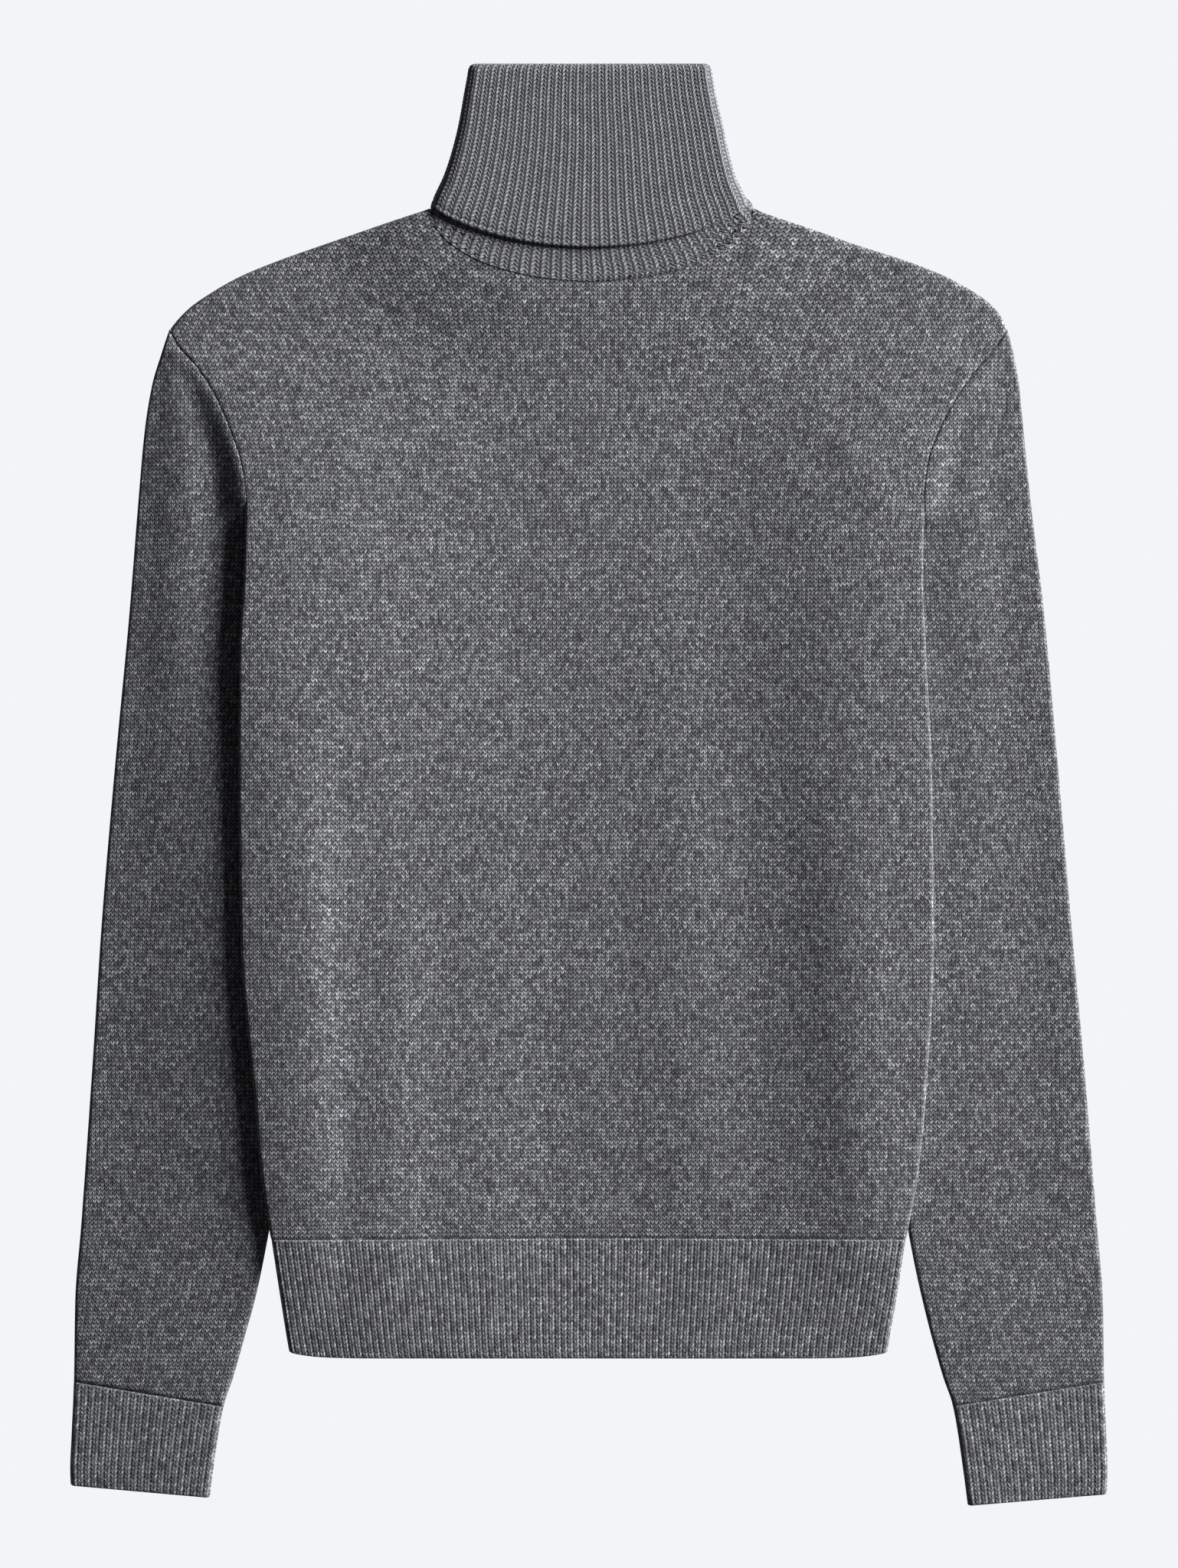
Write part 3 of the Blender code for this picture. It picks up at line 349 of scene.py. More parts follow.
def through(places, values):
    """A smooth function that passes through the values and never swings past them."""
    places, values = np.array(places, float), np.array(values, float)
    steps = np.diff(places)
    rises = np.diff(values) / steps
    before, after = rises[:-1], rises[1:]
    total = np.where(before * after > 0, before + after, 1.0)
    inner = np.where(before * after > 0, 2 * before * after / total, 0.0)
    slopes = np.concatenate([rises[:1], inner, rises[-1:]])

    def value(place):
        place = np.clip(place, places[0], places[-1])
        i = np.clip(np.searchsorted(places, place, side="right") - 1, 0, len(steps) - 1)
        t = (place - places[i]) / steps[i]
        return (
            values[i] * (1 + 2 * t) * (1 - t) ** 2
            + slopes[i] * steps[i] * t * (1 - t) ** 2
            + values[i + 1] * t * t * (3 - 2 * t)
            - slopes[i + 1] * steps[i] * t * t * (1 - t)
        )

    return value


def column(rows, key, name):
    """A smooth function of the rows' key that gives their column of a name."""
    pairs = sorted((getattr(row, key), getattr(row, name)) for row in rows)
    return through(*zip(*pairs))


SIGN = {"left": -1.0, "right": 1.0}


def by_side(rows, key="y", suffix=""):
    """A smooth function of the rows' key for each side."""
    return {side: column(rows, key, side + suffix) for side in SIGN}


side_x = by_side(SIDES)
armhole_x = by_side(ARMHOLES)
shoulder_x = by_side(SHOULDERS)
hem_x = by_side(HEM_SIDES)
outer_x = by_side(SLEEVE_OUTER)
free_x = by_side(SLEEVE_INNER)
tuck = by_side(TUCKS)
edge_rise = by_side(EDGE_RISES)
ridge_height = by_side(RIDGES)
arm_slope = by_side(RIDGE_SLOPES, "across")
cap_slope = by_side(RIDGE_SLOPES, "across", "_cap")
collar_x = by_side(COLLAR_EDGES)
lean_shift = column(WALE_LEANS, "y", "shift")


def ease(t):
    """From 0 at t = 0 to 1 at t = 1, level at both ends."""
    t = np.clip(t, 0.0, 1.0)
    return t * t * (3 - 2 * t)


def mix(a, b, t):
    return a + (b - a) * t


def body_edge(side, y):
    """The body's edge at a height: side edge, armhole or hem rib."""
    middle = np.where(y < HEM_Y, hem_x[side](y), side_x[side](y))
    return np.where(y > UNDERARM_Y, armhole_x[side](y), middle)


def inner_edge(side, y):
    """A sleeve's inner edge at a height: under the body, or free below it."""
    tucked = body_edge(side, y) - SIGN[side] * tuck[side](y)
    return np.where(y < SLEEVE_FREE_Y, free_x[side](y), tucked)


def neck_point(share, drop, spread):
    """A point on a neckline, from its left end to its right end, spread outwards."""
    left = shoulder_x["left"](NECK_Y)
    right = shoulder_x["right"](NECK_Y)
    angle = math.pi * share
    half = (right - left) / 2 + spread
    return (left + right) / 2 - half * np.cos(angle), NECK_Y - (drop + spread) * np.sin(angle)


NECK_POINTS = [
    neck_point(i / NECK_LINE_STEPS, FRONT_NECK_DROP, 0.0) for i in range(NECK_LINE_STEPS + 1)
]


def from_neck(x, y):
    """Distance in the plane from the front neckline, and 0 inside it."""
    left, right = NECK_POINTS[0][0], NECK_POINTS[-1][0]
    across = (x - (left + right) / 2) / ((right - left) / 2)
    bend = np.sqrt(np.maximum(0.0, 1 - across * across))
    inside = (np.abs(across) < 1) & (y > NECK_Y - FRONT_NECK_DROP * bend)
    nearest = np.full(np.shape(x), np.inf)
    for px, py in NECK_POINTS:
        nearest = np.minimum(nearest, np.hypot(x - px, y - py))
    return np.where(inside, 0.0, nearest)


# How high each layer lies over the surface


def body_rise(x, y):
    """How far the body's layers are lifted, over the sleeves and round the collar."""
    rise = NECK_RISE * (1 - ease((from_neck(x, y) - NECK_SHELF) / (NECK_FALL - NECK_SHELF)))
    for side in SIGN:
        inward = SIGN[side] * (body_edge(side, y) - x)
        shelf, fall = EDGE_SHELF[side], EDGE_FALL[side]
        rise = rise + edge_rise[side](y) * (1 - ease((inward - shelf) / (fall - shelf)))
    return rise


def sleeve_rise(side, x, y):
    """How far a sleeve's layers are lifted: at the armhole seam and in the long ridge."""
    crease = np.where(y > SLEEVE_FREE_Y, body_edge(side, y), inner_edge(side, y))
    out = SIGN[side] * (x - crease)
    width = np.maximum(SIGN[side] * (outer_x[side](y) - crease), 1.0)
    seam = 1 - ease(out / SLEEVE_FALL)
    seam = seam * ease(1 - (UNDERARM_Y - y) / SLEEVE_FALL_LENGTH)
    cap = ease((y - CAP_START) / (CAP_FULL - CAP_START))
    ridge = mix(arm_slope[side](out / width), cap_slope[side](out / width), cap)
    return edge_rise[side](y) * seam + ridge_height[side](y) * ridge * (1 - seam)


def front_folds(x, y):
    """The soft folds of the front layer, on top of the body's rise."""
    height = np.zeros(np.shape(x))
    for fold in FRONT_FOLDS:
        along_x, along_y = fold.high_x - fold.low_x, fold.high_y - fold.low_y
        length = math.hypot(along_x, along_y)
        along = ((x - fold.low_x) * along_x + (y - fold.low_y) * along_y) / length**2
        across = ((x - fold.low_x) * along_y - (y - fold.low_y) * along_x) / length
        ends = ease(along / FOLD_START) * ease((1 - along) / FOLD_END)
        near = np.clip(across / np.where(across < 0, fold.left, fold.right), -1, 1)
        height += fold.height * ends * np.cos(near * math.pi / 2) ** 2
    return height


# Meshes


class Cloth:
    """Points, knit coordinates and faces of one closed wall of cloth."""

    def __init__(self):
        self.points = []
        self.knit = []
        self.faces = []
        self.count = 0

    def grid(self, points, knit, closed=False):
        """Adds rows of points joined into quads, and returns their numbers row by row."""
        rows, columns = points.shape[:2]
        numbers = self.count + np.arange(rows * columns).reshape(rows, columns)
        self.count += rows * columns
        self.points.append(points.reshape(-1, 3))
        self.knit.append(knit.reshape(-1, 2))
        loop = np.concatenate([numbers, numbers[:, :1]], axis=1) if closed else numbers
        corners = (loop[:-1, :-1], loop[:-1, 1:], loop[1:, 1:], loop[1:, :-1])
        self.faces += np.stack(corners, axis=-1).reshape(-1, 4).tolist()
        return numbers

    def join(self, one, two, closed=False):
        """Fills the strip between two rows of numbers, which may differ in length."""
        one, two = list(one), list(two)
        if closed:
            one, two = one + one[:1], two + two[:1]
        i = j = 0
        while i < len(one) - 1 or j < len(two) - 1:
            next_one = (i + 1) / (len(one) - 1)
            next_two = (j + 1) / (len(two) - 1)
            if j == len(two) - 1 or (i < len(one) - 1 and next_one <= next_two):
                self.faces.append((one[i], one[i + 1], two[j]))
                i += 1
            else:
                self.faces.append((one[i], two[j + 1], two[j]))
                j += 1

    def object(self, node, material):
        """Makes the piece that stands for a node, in the shared frame."""
        mesh = bpy.data.meshes.new(node + "_knit")
        points = np.concatenate(self.points) * MM
        mesh.from_pydata(points.tolist(), [], self.faces)
        knit = np.concatenate(self.knit)
        corners = np.empty(len(mesh.loops), np.int32)
        mesh.loops.foreach_get("vertex_index", corners)
        layer = mesh.uv_layers.new(name="knit")
        layer.uv.foreach_set("vector", knit[corners].astype(np.float32).ravel())
        mesh.materials.append(material)
        mesh.shade_smooth()
        turn_outwards(mesh)
        made = bpy.data.objects.new(node + "_knit", mesh)
        bpy.context.scene.collection.objects.link(made)
        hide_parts(node)
        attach(made, "root")
        return made


def turn_outwards(mesh):
    """Turns all faces of a closed mesh outwards."""
    shape = bmesh.new()
    shape.from_mesh(mesh)
    bmesh.ops.recalc_face_normals(shape, faces=shape.faces)
    shape.to_mesh(mesh)
    shape.free()


def stacked(x, y, z):
    """Three arrays of coordinates as one array of points."""
    return np.stack(np.broadcast_arrays(x, y, z), axis=-1).astype(float)


def wall(outer, inner, closed=False):
    """A wall with an outer and an inner face, joined along its borders or round its ends."""
    cloth = Cloth()
    out = cloth.grid(*outer, closed)
    inside = cloth.grid(*inner, closed)
    cloth.join(out[0], inside[0], closed)
    cloth.join(out[-1], inside[-1], closed)
    if not closed:
        cloth.join(out[:, 0], inside[:, 0])
        cloth.join(out[:, -1], inside[:, -1])
    return cloth


# The flat tube's section: upper half, from the middle of one edge to that of the other


def over(width, half, share):
    """Place across, height over the middle, and the outward direction there."""
    quarter = half * math.pi / 2
    length = width - 2 * half + 2 * quarter
    s = share * length
    low = np.clip(s / half, 0, math.pi / 2)
    high = np.clip((length - s) / half, 0, math.pi / 2)
    level = np.clip(s - quarter, 0, width - 2 * half)
    across = half - half * np.cos(low) + level + half * np.cos(high)
    up = np.minimum(np.sin(low), np.sin(high))
    return across, half * up, np.cos(high) - np.cos(low), up


def plain_shares(width, half, step):
    """Shares along over(): a few round each edge, and even steps between."""
    quarter = half * math.pi / 2
    length = width - 2 * half + 2 * quarter
    rounds = np.arange(TURN_STEPS) / TURN_STEPS * quarter / length
    steps = max(2, round((width - 2 * half) / step))
    level = np.linspace(quarter, length - quarter, steps + 1) / length
    return np.concatenate([rounds, level, 1 - rounds[::-1]])


def rib_groove(rib):
    """How deep the groove is at a place counted in ribs: 0 on a rib, 1 between two."""
    return (0.5 - 0.5 * np.cos(2 * math.pi * rib)) ** GROOVE_SHARPNESS


# Body: front and back


def outline_side(side, v):
    """The body's side edge and armhole, from under the hem rib to the shoulder tip."""
    low = mix(HEM_Y - UNDERLAP, UNDERARM_Y, v / UNDERARM_SHARE)
    high = mix(UNDERARM_Y, TIP_Y, (v - UNDERARM_SHARE) / (1 - UNDERARM_SHARE))
    y = np.where(v < UNDERARM_SHARE, low, high)
    return body_edge(side, y), y


def shoulder_point(side, share):
    """A point on a shoulder line, from the tip to the neck."""
    y = mix(TIP_Y, NECK_Y, np.clip(share, 0, 1) ** SHOULDER_BUNCH)
    return shoulder_x[side](y), y


def outline_top(u, drop):
    """Shoulder, neckline and shoulder, from the left tip to the right tip."""
    left = shoulder_point("left", u / SHOULDER_SHARE)
    right = shoulder_point("right", (1 - u) / SHOULDER_SHARE)
    share = np.clip((u - SHOULDER_SHARE) / (1 - 2 * SHOULDER_SHARE), 0, 1)
    under = UNDERLAP * ease(share / NECK_LAP_SHARE) * ease((1 - share) / NECK_LAP_SHARE)
    neck = neck_point(share, drop, -under)
    return tuple(
        np.where(u <= SHOULDER_SHARE, left[k], np.where(u >= 1 - SHOULDER_SHARE, right[k], neck[k]))
        for k in (0, 1)
    )


def body_plan(u, v, drop):
    """The body's outline filled in: u from left to right, v from hem to neck.

    Columns bend towards their places on the shoulder lines and the neckline, mostly near
    the top and in proportion to the body's width there, so neighbours never cross.
    """
    left, right = outline_side("left", v), outline_side("right", v)
    start, end = outline_top(0.0, drop)[0], outline_top(1.0, drop)[0]
    top = outline_top(u, drop)
    bend = (top[0] - mix(start, end, u)) / (end - start)
    x = left[0] + (right[0] - left[0]) * (u + v**BEND_SHARPNESS * bend)
    return x, left[1] + v * (top[1] - TIP_Y)


def body_wale(x, y):
    """The wale's place across the body: upright in the middle, leaning out at the shoulders."""
    return x - np.sign(x) * lean_shift(y) * ease(np.abs(x) / LEAN_REACH)


def apart(a, b):
    """The distance between two points of a plan."""
    return np.hypot(a[0] - b[0], a[1] - b[1])


def body_face(layer, half, drop, step):
    """One face of the front (layer 1) or the back (layer -1), half a height from the middle.

    The last columns at each side and the last rows at the shoulders curve down to the
    middle of the layers, where front and back meet, and take the place of the level ones
    nearest the edge. Armholes and necklines stay level.
    """
    turns = np.linspace(math.pi / 2, 0, TURN_STEPS + 1)
    shoulder = np.linspace(0, SHOULDER_SHARE, round(SHOULDER_SPAN / step) + 1)[2:]
    neck = np.linspace(SHOULDER_SHARE, 1 - SHOULDER_SHARE, round(NECK_SPAN / step) + 1)[1:-1]
    level_u = np.concatenate([shoulder, neck, 1 - shoulder[::-1]])
    turn_u = np.concatenate([turns, 0 * level_u, turns[::-1]])
    base_u = np.concatenate([0 * turns, level_u, 0 * turns + 1])
    end_u = np.concatenate([0 * turns - 1, 0 * level_u, 0 * turns + 1])
    side_steps = round((UNDERARM_Y - HEM_Y) / step)
    arm_steps = round((TIP_Y - UNDERARM_Y) / step * ARM_STRETCH)
    below = np.linspace(0, UNDERARM_SHARE, side_steps + 1)[:-1]
    above = np.linspace(UNDERARM_SHARE, 1, arm_steps + 1)[:-2]
    base_v = np.concatenate([below, above, 0 * turns + 1])[:, None]
    turn_v = np.concatenate([0 * below, 0 * above, turns[::-1]])[:, None]
    end_v = np.concatenate([0 * below, 0 * above, 0 * turns + 1])[:, None]

    def inset(angle, wrapped):
        level = FLAT - FLAT * np.sin(angle)
        curved = FLAT - half * np.sin(angle)
        return mix(level, curved, wrapped)

    wrap_side = 1 - ease((base_v - UNDERARM_SHARE + ROUNDING_END) / ROUNDING_END)
    wrap_top = (np.minimum(base_u, 1 - base_u) < SHOULDER_SHARE - TINY).astype(float)
    per_mm = PROBE / apart(body_plan(PROBE, base_v, drop), body_plan(0.0, base_v, drop))
    from_edge = inset(turn_u[None, :], wrap_side) * per_mm
    u = np.where(end_u < 0, from_edge, np.where(end_u > 0, 1 - from_edge, base_u))
    per_mm = PROBE / apart(body_plan(u, 1 - PROBE, drop), body_plan(u, 1.0, drop))
    slant = mix(1.0, SHOULDER_LEAN, wrap_top)
    from_top = inset(turn_v, wrap_top[None, :]) * per_mm / slant
    v = np.where(end_v > 0, 1 - from_top, base_v)
    x, y = body_plan(u, v, drop)
    down = np.where(end_u != 0, 1 - wrap_side * (1 - np.cos(turn_u)), 1.0)
    down = down * np.where(end_v > 0, 1 - wrap_top * (1 - np.cos(turn_v)), 1.0)
    height, fold = down * half, 0.0
    if layer > 0:
        height = height - down * BODY_DIP * (1 - wrap_side) * (1 - np.cos(turn_u))
        fold = front_folds(x, y) * down
    z = FLAT + body_rise(x, y) + fold + layer * height
    turned = half * turn_u * end_u * wrap_side
    knit = np.stack([(body_wale(x, y) + turned) / WALE, y / COURSE], axis=-1)
    return stacked(x, y, z), knit


def body_panel(node, layer, drop, material):
    outer = body_face(layer, FLAT, drop, CLOTH_STEP)
    inner = body_face(layer, AIR / 2, drop, INSIDE_STEP)
    return wall(outer, inner).object(node, material)


# Ribbed bands, and the hem's


def band_levels(length):
    """A band's rows from its seam to its loose edge, as columns.

    Gives the share of the way, how much thinner the band is, and how strong its ribs are.
    """
    rounds = np.linspace(0, math.pi / 2, TURN_STEPS + 1)
    level = np.linspace(BAND_ROUND, length - BAND_ROUND, round(length / BAND_STEP))[1:-1]
    end = BAND_ROUND * (1 - np.cos(rounds))
    along = np.concatenate([end, level, length - end[::-1]]) / length
    thin = BAND_ROUND * (1 - np.sin(rounds))
    thinner = np.concatenate([thin, 0 * level, thin[::-1]])
    grown = rounds / rounds[-1]
    from_seam, to_loose = mix(SEAM_STRENGTH, 1, grown), mix(LOOSE_STRENGTH, 1, grown[::-1])
    strength = np.concatenate([from_seam, 0 * level + 1, to_loose])
    return along[:, None], thinner[:, None], strength[:, None]


def hem_point(u, v):
    """A point of the hem rib: u from left to right, v from the seam to the loose edge."""
    corner = HEM_CORNER * np.abs(2 * u - 1) ** CORNER_SHARPNESS
    y = mix(HEM_Y - SEAM / 2, HEM_END_Y + corner, v)
    return mix(hem_x["left"](y), hem_x["right"](y), u), y


def hem_face(layer, half, v, shares, groove):
    """Rows of a hem rib's face, over the curve of the side edges."""
    width = hem_point(1.0, v)[0] - hem_point(0.0, v)[0]
    inset = RIB_FLAT - half
    across, height, out_x, out_z = over(width - 2 * inset, half, shares[None, :])
    depth = groove * rib_groove(shares * HEM_RIBS)
    level = height / half
    across = across - out_x * depth
    height = np.maximum(height - out_z * depth, 0.0)
    x, y = hem_point((across + inset) / width, v)
    fold = front_folds(x, y) * level if layer > 0 else 0.0
    z = RIB_FLAT + body_rise(x, y) + fold + layer * height
    knit = np.broadcast_arrays(shares[None, :] * HEM_RIBS, (y - HEM_Y) / RIB_COURSE)
    return stacked(x, y, z), np.stack(knit, axis=-1)


def hem_panel(node, layer, groove, material):
    width = hem_point(1.0, 0.0)[0] - hem_point(0.0, 0.0)[0]
    across = np.linspace(0, 1, HEM_RIBS * SAMPLES_PER_RIB + 1)
    v, thinner, strength = band_levels(HEM_Y - HEM_END_Y)
    outer = hem_face(layer, RIB_FLAT - thinner, v, across, groove * strength)
    inner_v = np.linspace(0, 1, INSIDE_BAND_STEPS + 1)[:, None]
    inner_across = plain_shares(width, RIB_FLAT, INSIDE_STEP)
    inner = hem_face(layer, AIR / 2, inner_v, inner_across, 0.0)
    return wall(outer, inner).object(node, material)


# Sleeves and cuffs


def arm_point(side, share):
    """A point on the sleeve's side of the armhole seam, from the tip to the underarm."""
    y = mix(TIP_Y, UNDERARM_Y, share)
    clear = mix(-ARM_UNDERLAP, SEAM, (1 - share) ** TIP_SHARPNESS)
    return armhole_x[side](y) + SIGN[side] * clear, y


def sleeve_point(side, u, v):
    """A point of the sleeve: u from its outer to its inner edge, v from armhole to cuff."""
    outer_y = mix(TIP_Y, CUFF_OUTER_Y, v)
    inner_y = mix(UNDERARM_Y, CUFF_INNER_Y, v)
    outer = outer_x[side](outer_y), outer_y
    inner = inner_edge(side, inner_y), inner_y
    tip, arm, under = arm_point(side, 0.0), arm_point(side, u), arm_point(side, 1.0)
    curve = np.maximum(0.0, 1 - v / ARMHOLE_REACH) ** 2
    return tuple(
        mix(outer[k], inner[k], u) + curve * (arm[k] - mix(tip[k], under[k], u)) for k in (0, 1)
    )


def cuff_point(side, u, v):
    """A point of the cuff: u from its outer to its inner edge, v from seam to loose edge."""
    outer_y = mix(CUFF_OUTER_Y - SEAM, CUFF_END_OUTER[side], v)
    inner_y = mix(CUFF_INNER_Y - SEAM, CUFF_END_INNER[side], v)
    y = mix(outer_y, inner_y, u)
    return mix(outer_x[side](outer_y), inner_edge(side, inner_y), u), y


def sleeve_middle(side, y):
    """The sleeve's middle line, along which its wales run."""
    low = np.minimum(y, UNDERARM_Y)
    crease = np.where(y > SLEEVE_FREE_Y, side_x[side](low), free_x[side](y))
    return (outer_x[side](low) + crease) / 2


def tube_face(side, plan, v, half, middle, top, bottom, ribs=0, groove=0.0, dip=0.0):
    """Rings round a flattened tube: shares over the top, then back underneath."""
    width = apart(plan(side, 0.0, v), plan(side, 1.0, v))
    inset = middle - half
    shares = np.concatenate([top, bottom[::-1][1:-1]])[None, :]
    above = np.concatenate([top * 0 + 1, bottom[1:-1] * 0 - 1])[None, :]
    across, height, out_x, out_z = over(width - 2 * inset, half, shares)
    depth = groove * rib_groove(shares * ribs) * (above > 0)
    across, height = across - out_x * depth, height - out_z * depth
    x, y = plan(side, (across + inset) / width, v)
    z = middle + sleeve_rise(side, x, y) + above * (height - dip * out_z)
    if ribs:
        knit = shares * ribs, (y - CUFF_OUTER_Y) / RIB_COURSE
    else:
        turned = half * math.pi / 2 * (1 - out_z) * np.sign(out_x) * -SIGN[side]
        knit = (x - sleeve_middle(side, y) + turned) / WALE, y / COURSE
    return stacked(x, y, z), np.stack(np.broadcast_arrays(*knit), axis=-1)


def sleeve(side, material):
    length = UNDERARM_Y - CUFF_INNER_Y
    near_seam = np.arange(SEAM_ROWS) / SEAM_ROWS * DIP_REACH
    down = np.linspace(DIP_REACH, length + UNDERLAP, round(length / CLOTH_STEP) + 1)
    from_seam = np.concatenate([near_seam, down])[:, None]
    v, dip = from_seam / length, SLEEVE_DIP[side] * (1 - ease(from_seam / DIP_REACH))
    top = plain_shares(SLEEVE_WIDTH, FLAT, CLOTH_STEP)
    bottom = plain_shares(SLEEVE_WIDTH, FLAT, BACK_STEP)
    outer = tube_face(side, sleeve_point, v, FLAT, FLAT, top, bottom, dip=dip)
    inner_v = np.linspace(0, 1, round(length / INSIDE_STEP) + 1)[:, None]
    around = plain_shares(SLEEVE_WIDTH, AIR / 2, INSIDE_STEP)
    inner = tube_face(side, sleeve_point, inner_v, AIR / 2, FLAT, around, around)
    return wall(outer, inner, closed=True).object("sleeve_" + side, material)


def cuff(side, material):
    v, thinner, strength = band_levels(CUFF_INNER_Y - CUFF_END_INNER[side])
    half, groove = RIB_FLAT - thinner, CUFF_GROOVE * strength
    top = np.linspace(0, 1, CUFF_RIBS * SAMPLES_PER_RIB + 1)
    bottom = plain_shares(CUFF_WIDTH, RIB_FLAT, BACK_STEP)
    outer = tube_face(side, cuff_point, v, half, RIB_FLAT, top, bottom, CUFF_RIBS, groove)
    inner_v = np.linspace(0, 1, INSIDE_BAND_STEPS + 1)[:, None]
    around = plain_shares(CUFF_WIDTH, AIR / 2, INSIDE_STEP)
    inner = tube_face(side, cuff_point, inner_v, AIR / 2, RIB_FLAT, around, around)
    return wall(outer, inner, closed=True).object("cuff_" + side, material)


# Collar: one ribbed tube, folded over


def collar_ends(end, half):
    """A ring's two ends: nested by its half height, or spread to the neck seam."""
    inset = TURN_OUT - half
    left, right = collar_x["left"](end) + inset, collar_x["right"](end) - inset
    if half > STAND_OUT:
        return left, right
    seam = ease(1 - (end - NECK_Y) / COLLAR_FLARE)
    inside = STAND_OUT - half
    left = mix(left, shoulder_x["left"](NECK_Y) + inside + SEAM, seam)
    return left, mix(right, shoulder_x["right"](NECK_Y) - inside - SEAM, seam)


def stitch_relief(rib, course):
    """Height of the V stitches on a rib, from -0.5 in the gaps to 0.5 on the yarn."""
    aside = 2 * np.abs(rib - np.round(rib))
    phase = (course - COLLAR_LEAN * aside) % 1.0
    yarn = 0.5 - (2 * phase - 1) ** 2
    return yarn * (1 - ease((aside - STITCH_START) / STITCH_FADE))


def collar_line(ring, layer, steps):
    """Even places along a ring's upper or lower half: x, y, height and outward direction."""
    left, right = collar_ends(ring.end, ring.half)
    drop = ring.front_drop if layer > 0 else ring.back_drop
    shares = np.linspace(0, 1, COLLAR_LINE_STEPS + 1)
    across, height, out_x, out_z = over(right - left, ring.half, shares)
    t = 2 * across / (right - left) - 1
    bend = np.sqrt(np.maximum(0.0, 1 - t * t))
    bend = mix(bend * bend, bend, ring.round)
    line = np.stack([left + across, ring.end - drop * bend, height])
    lengths = np.concatenate([[0], np.cumsum(np.linalg.norm(np.diff(line, axis=1), axis=0))])
    at = np.linspace(0, lengths[-1], steps + 1)
    return np.stack([np.interp(at, lengths, row) for row in (*line, out_x, out_z)])


def collar_half(rings, layer, steps):
    """The upper or lower half of all rings, with ribs and V stitches raised on the upper."""
    lines = np.stack([collar_line(ring, layer, steps) for ring in rings])
    x, y, height, out_x, out_z = (lines[:, k] for k in range(lines.shape[1]))
    gaps = np.linalg.norm(np.diff(lines[:, :3], axis=0), axis=1)
    course = np.concatenate([0 * gaps[:1], np.cumsum(gaps, axis=0)]) / COLLAR_COURSE
    rib = np.linspace(0, COLLAR_RIBS, steps + 1) + 0 * course
    if layer > 0:
        groove = np.array([ring.groove for ring in rings])[:, None]
        relief = COLLAR_STITCH * groove * stitch_relief(rib, course)
        depth = groove * rib_groove(rib) - relief
        x, height = x - out_x * depth, height - out_z * depth
    return stacked(x, y, TURN_OUT + layer * height), np.stack([rib, course], axis=-1)


def collar_stretch(rings, ribbed):
    """Closed rings laid smoothly through the given ones: over the top and back under."""
    step = COLLAR_STEP if ribbed else COLLAR_PLAIN_STEP
    top_steps = COLLAR_RIBS * SAMPLES_PER_RIB if ribbed else COLLAR_PLAIN_STEPS
    gaps = [
        math.hypot(a.end - a.front_drop - b.end + b.front_drop, a.half - b.half)
        for a, b in zip(rings, rings[1:])
    ]
    lengths = np.concatenate([[0], np.cumsum(gaps)])
    columns = [through(lengths, [getattr(ring, name) for ring in rings]) for name in Ring._fields]
    places = np.linspace(0, lengths[-1], round(lengths[-1] / step) + 1)
    fine = [Ring(*(float(value(at)) for value in columns)) for at in places]
    top, under = collar_half(fine, 1, top_steps), collar_half(fine, -1, COLLAR_PLAIN_STEPS)
    return [np.concatenate([a, b[:, ::-1][:, 1:-1]], axis=1) for a, b in zip(top, under)]


def collar(material):
    cloth = Cloth()
    faces = (
        collar_stretch(STAND_RINGS, ribbed=True),
        collar_stretch(CHANNEL_RINGS, ribbed=False),
        collar_stretch(TURN_RINGS, ribbed=True),
        collar_stretch(INSIDE_RINGS, ribbed=False),
    )
    stretches = [cloth.grid(*face, closed=True) for face in faces]
    for one, two in zip(stretches, stretches[1:] + stretches[:1]):
        cloth.join(one[-1], two[0], closed=True)
    return cloth.object("collar", material)


# Materials


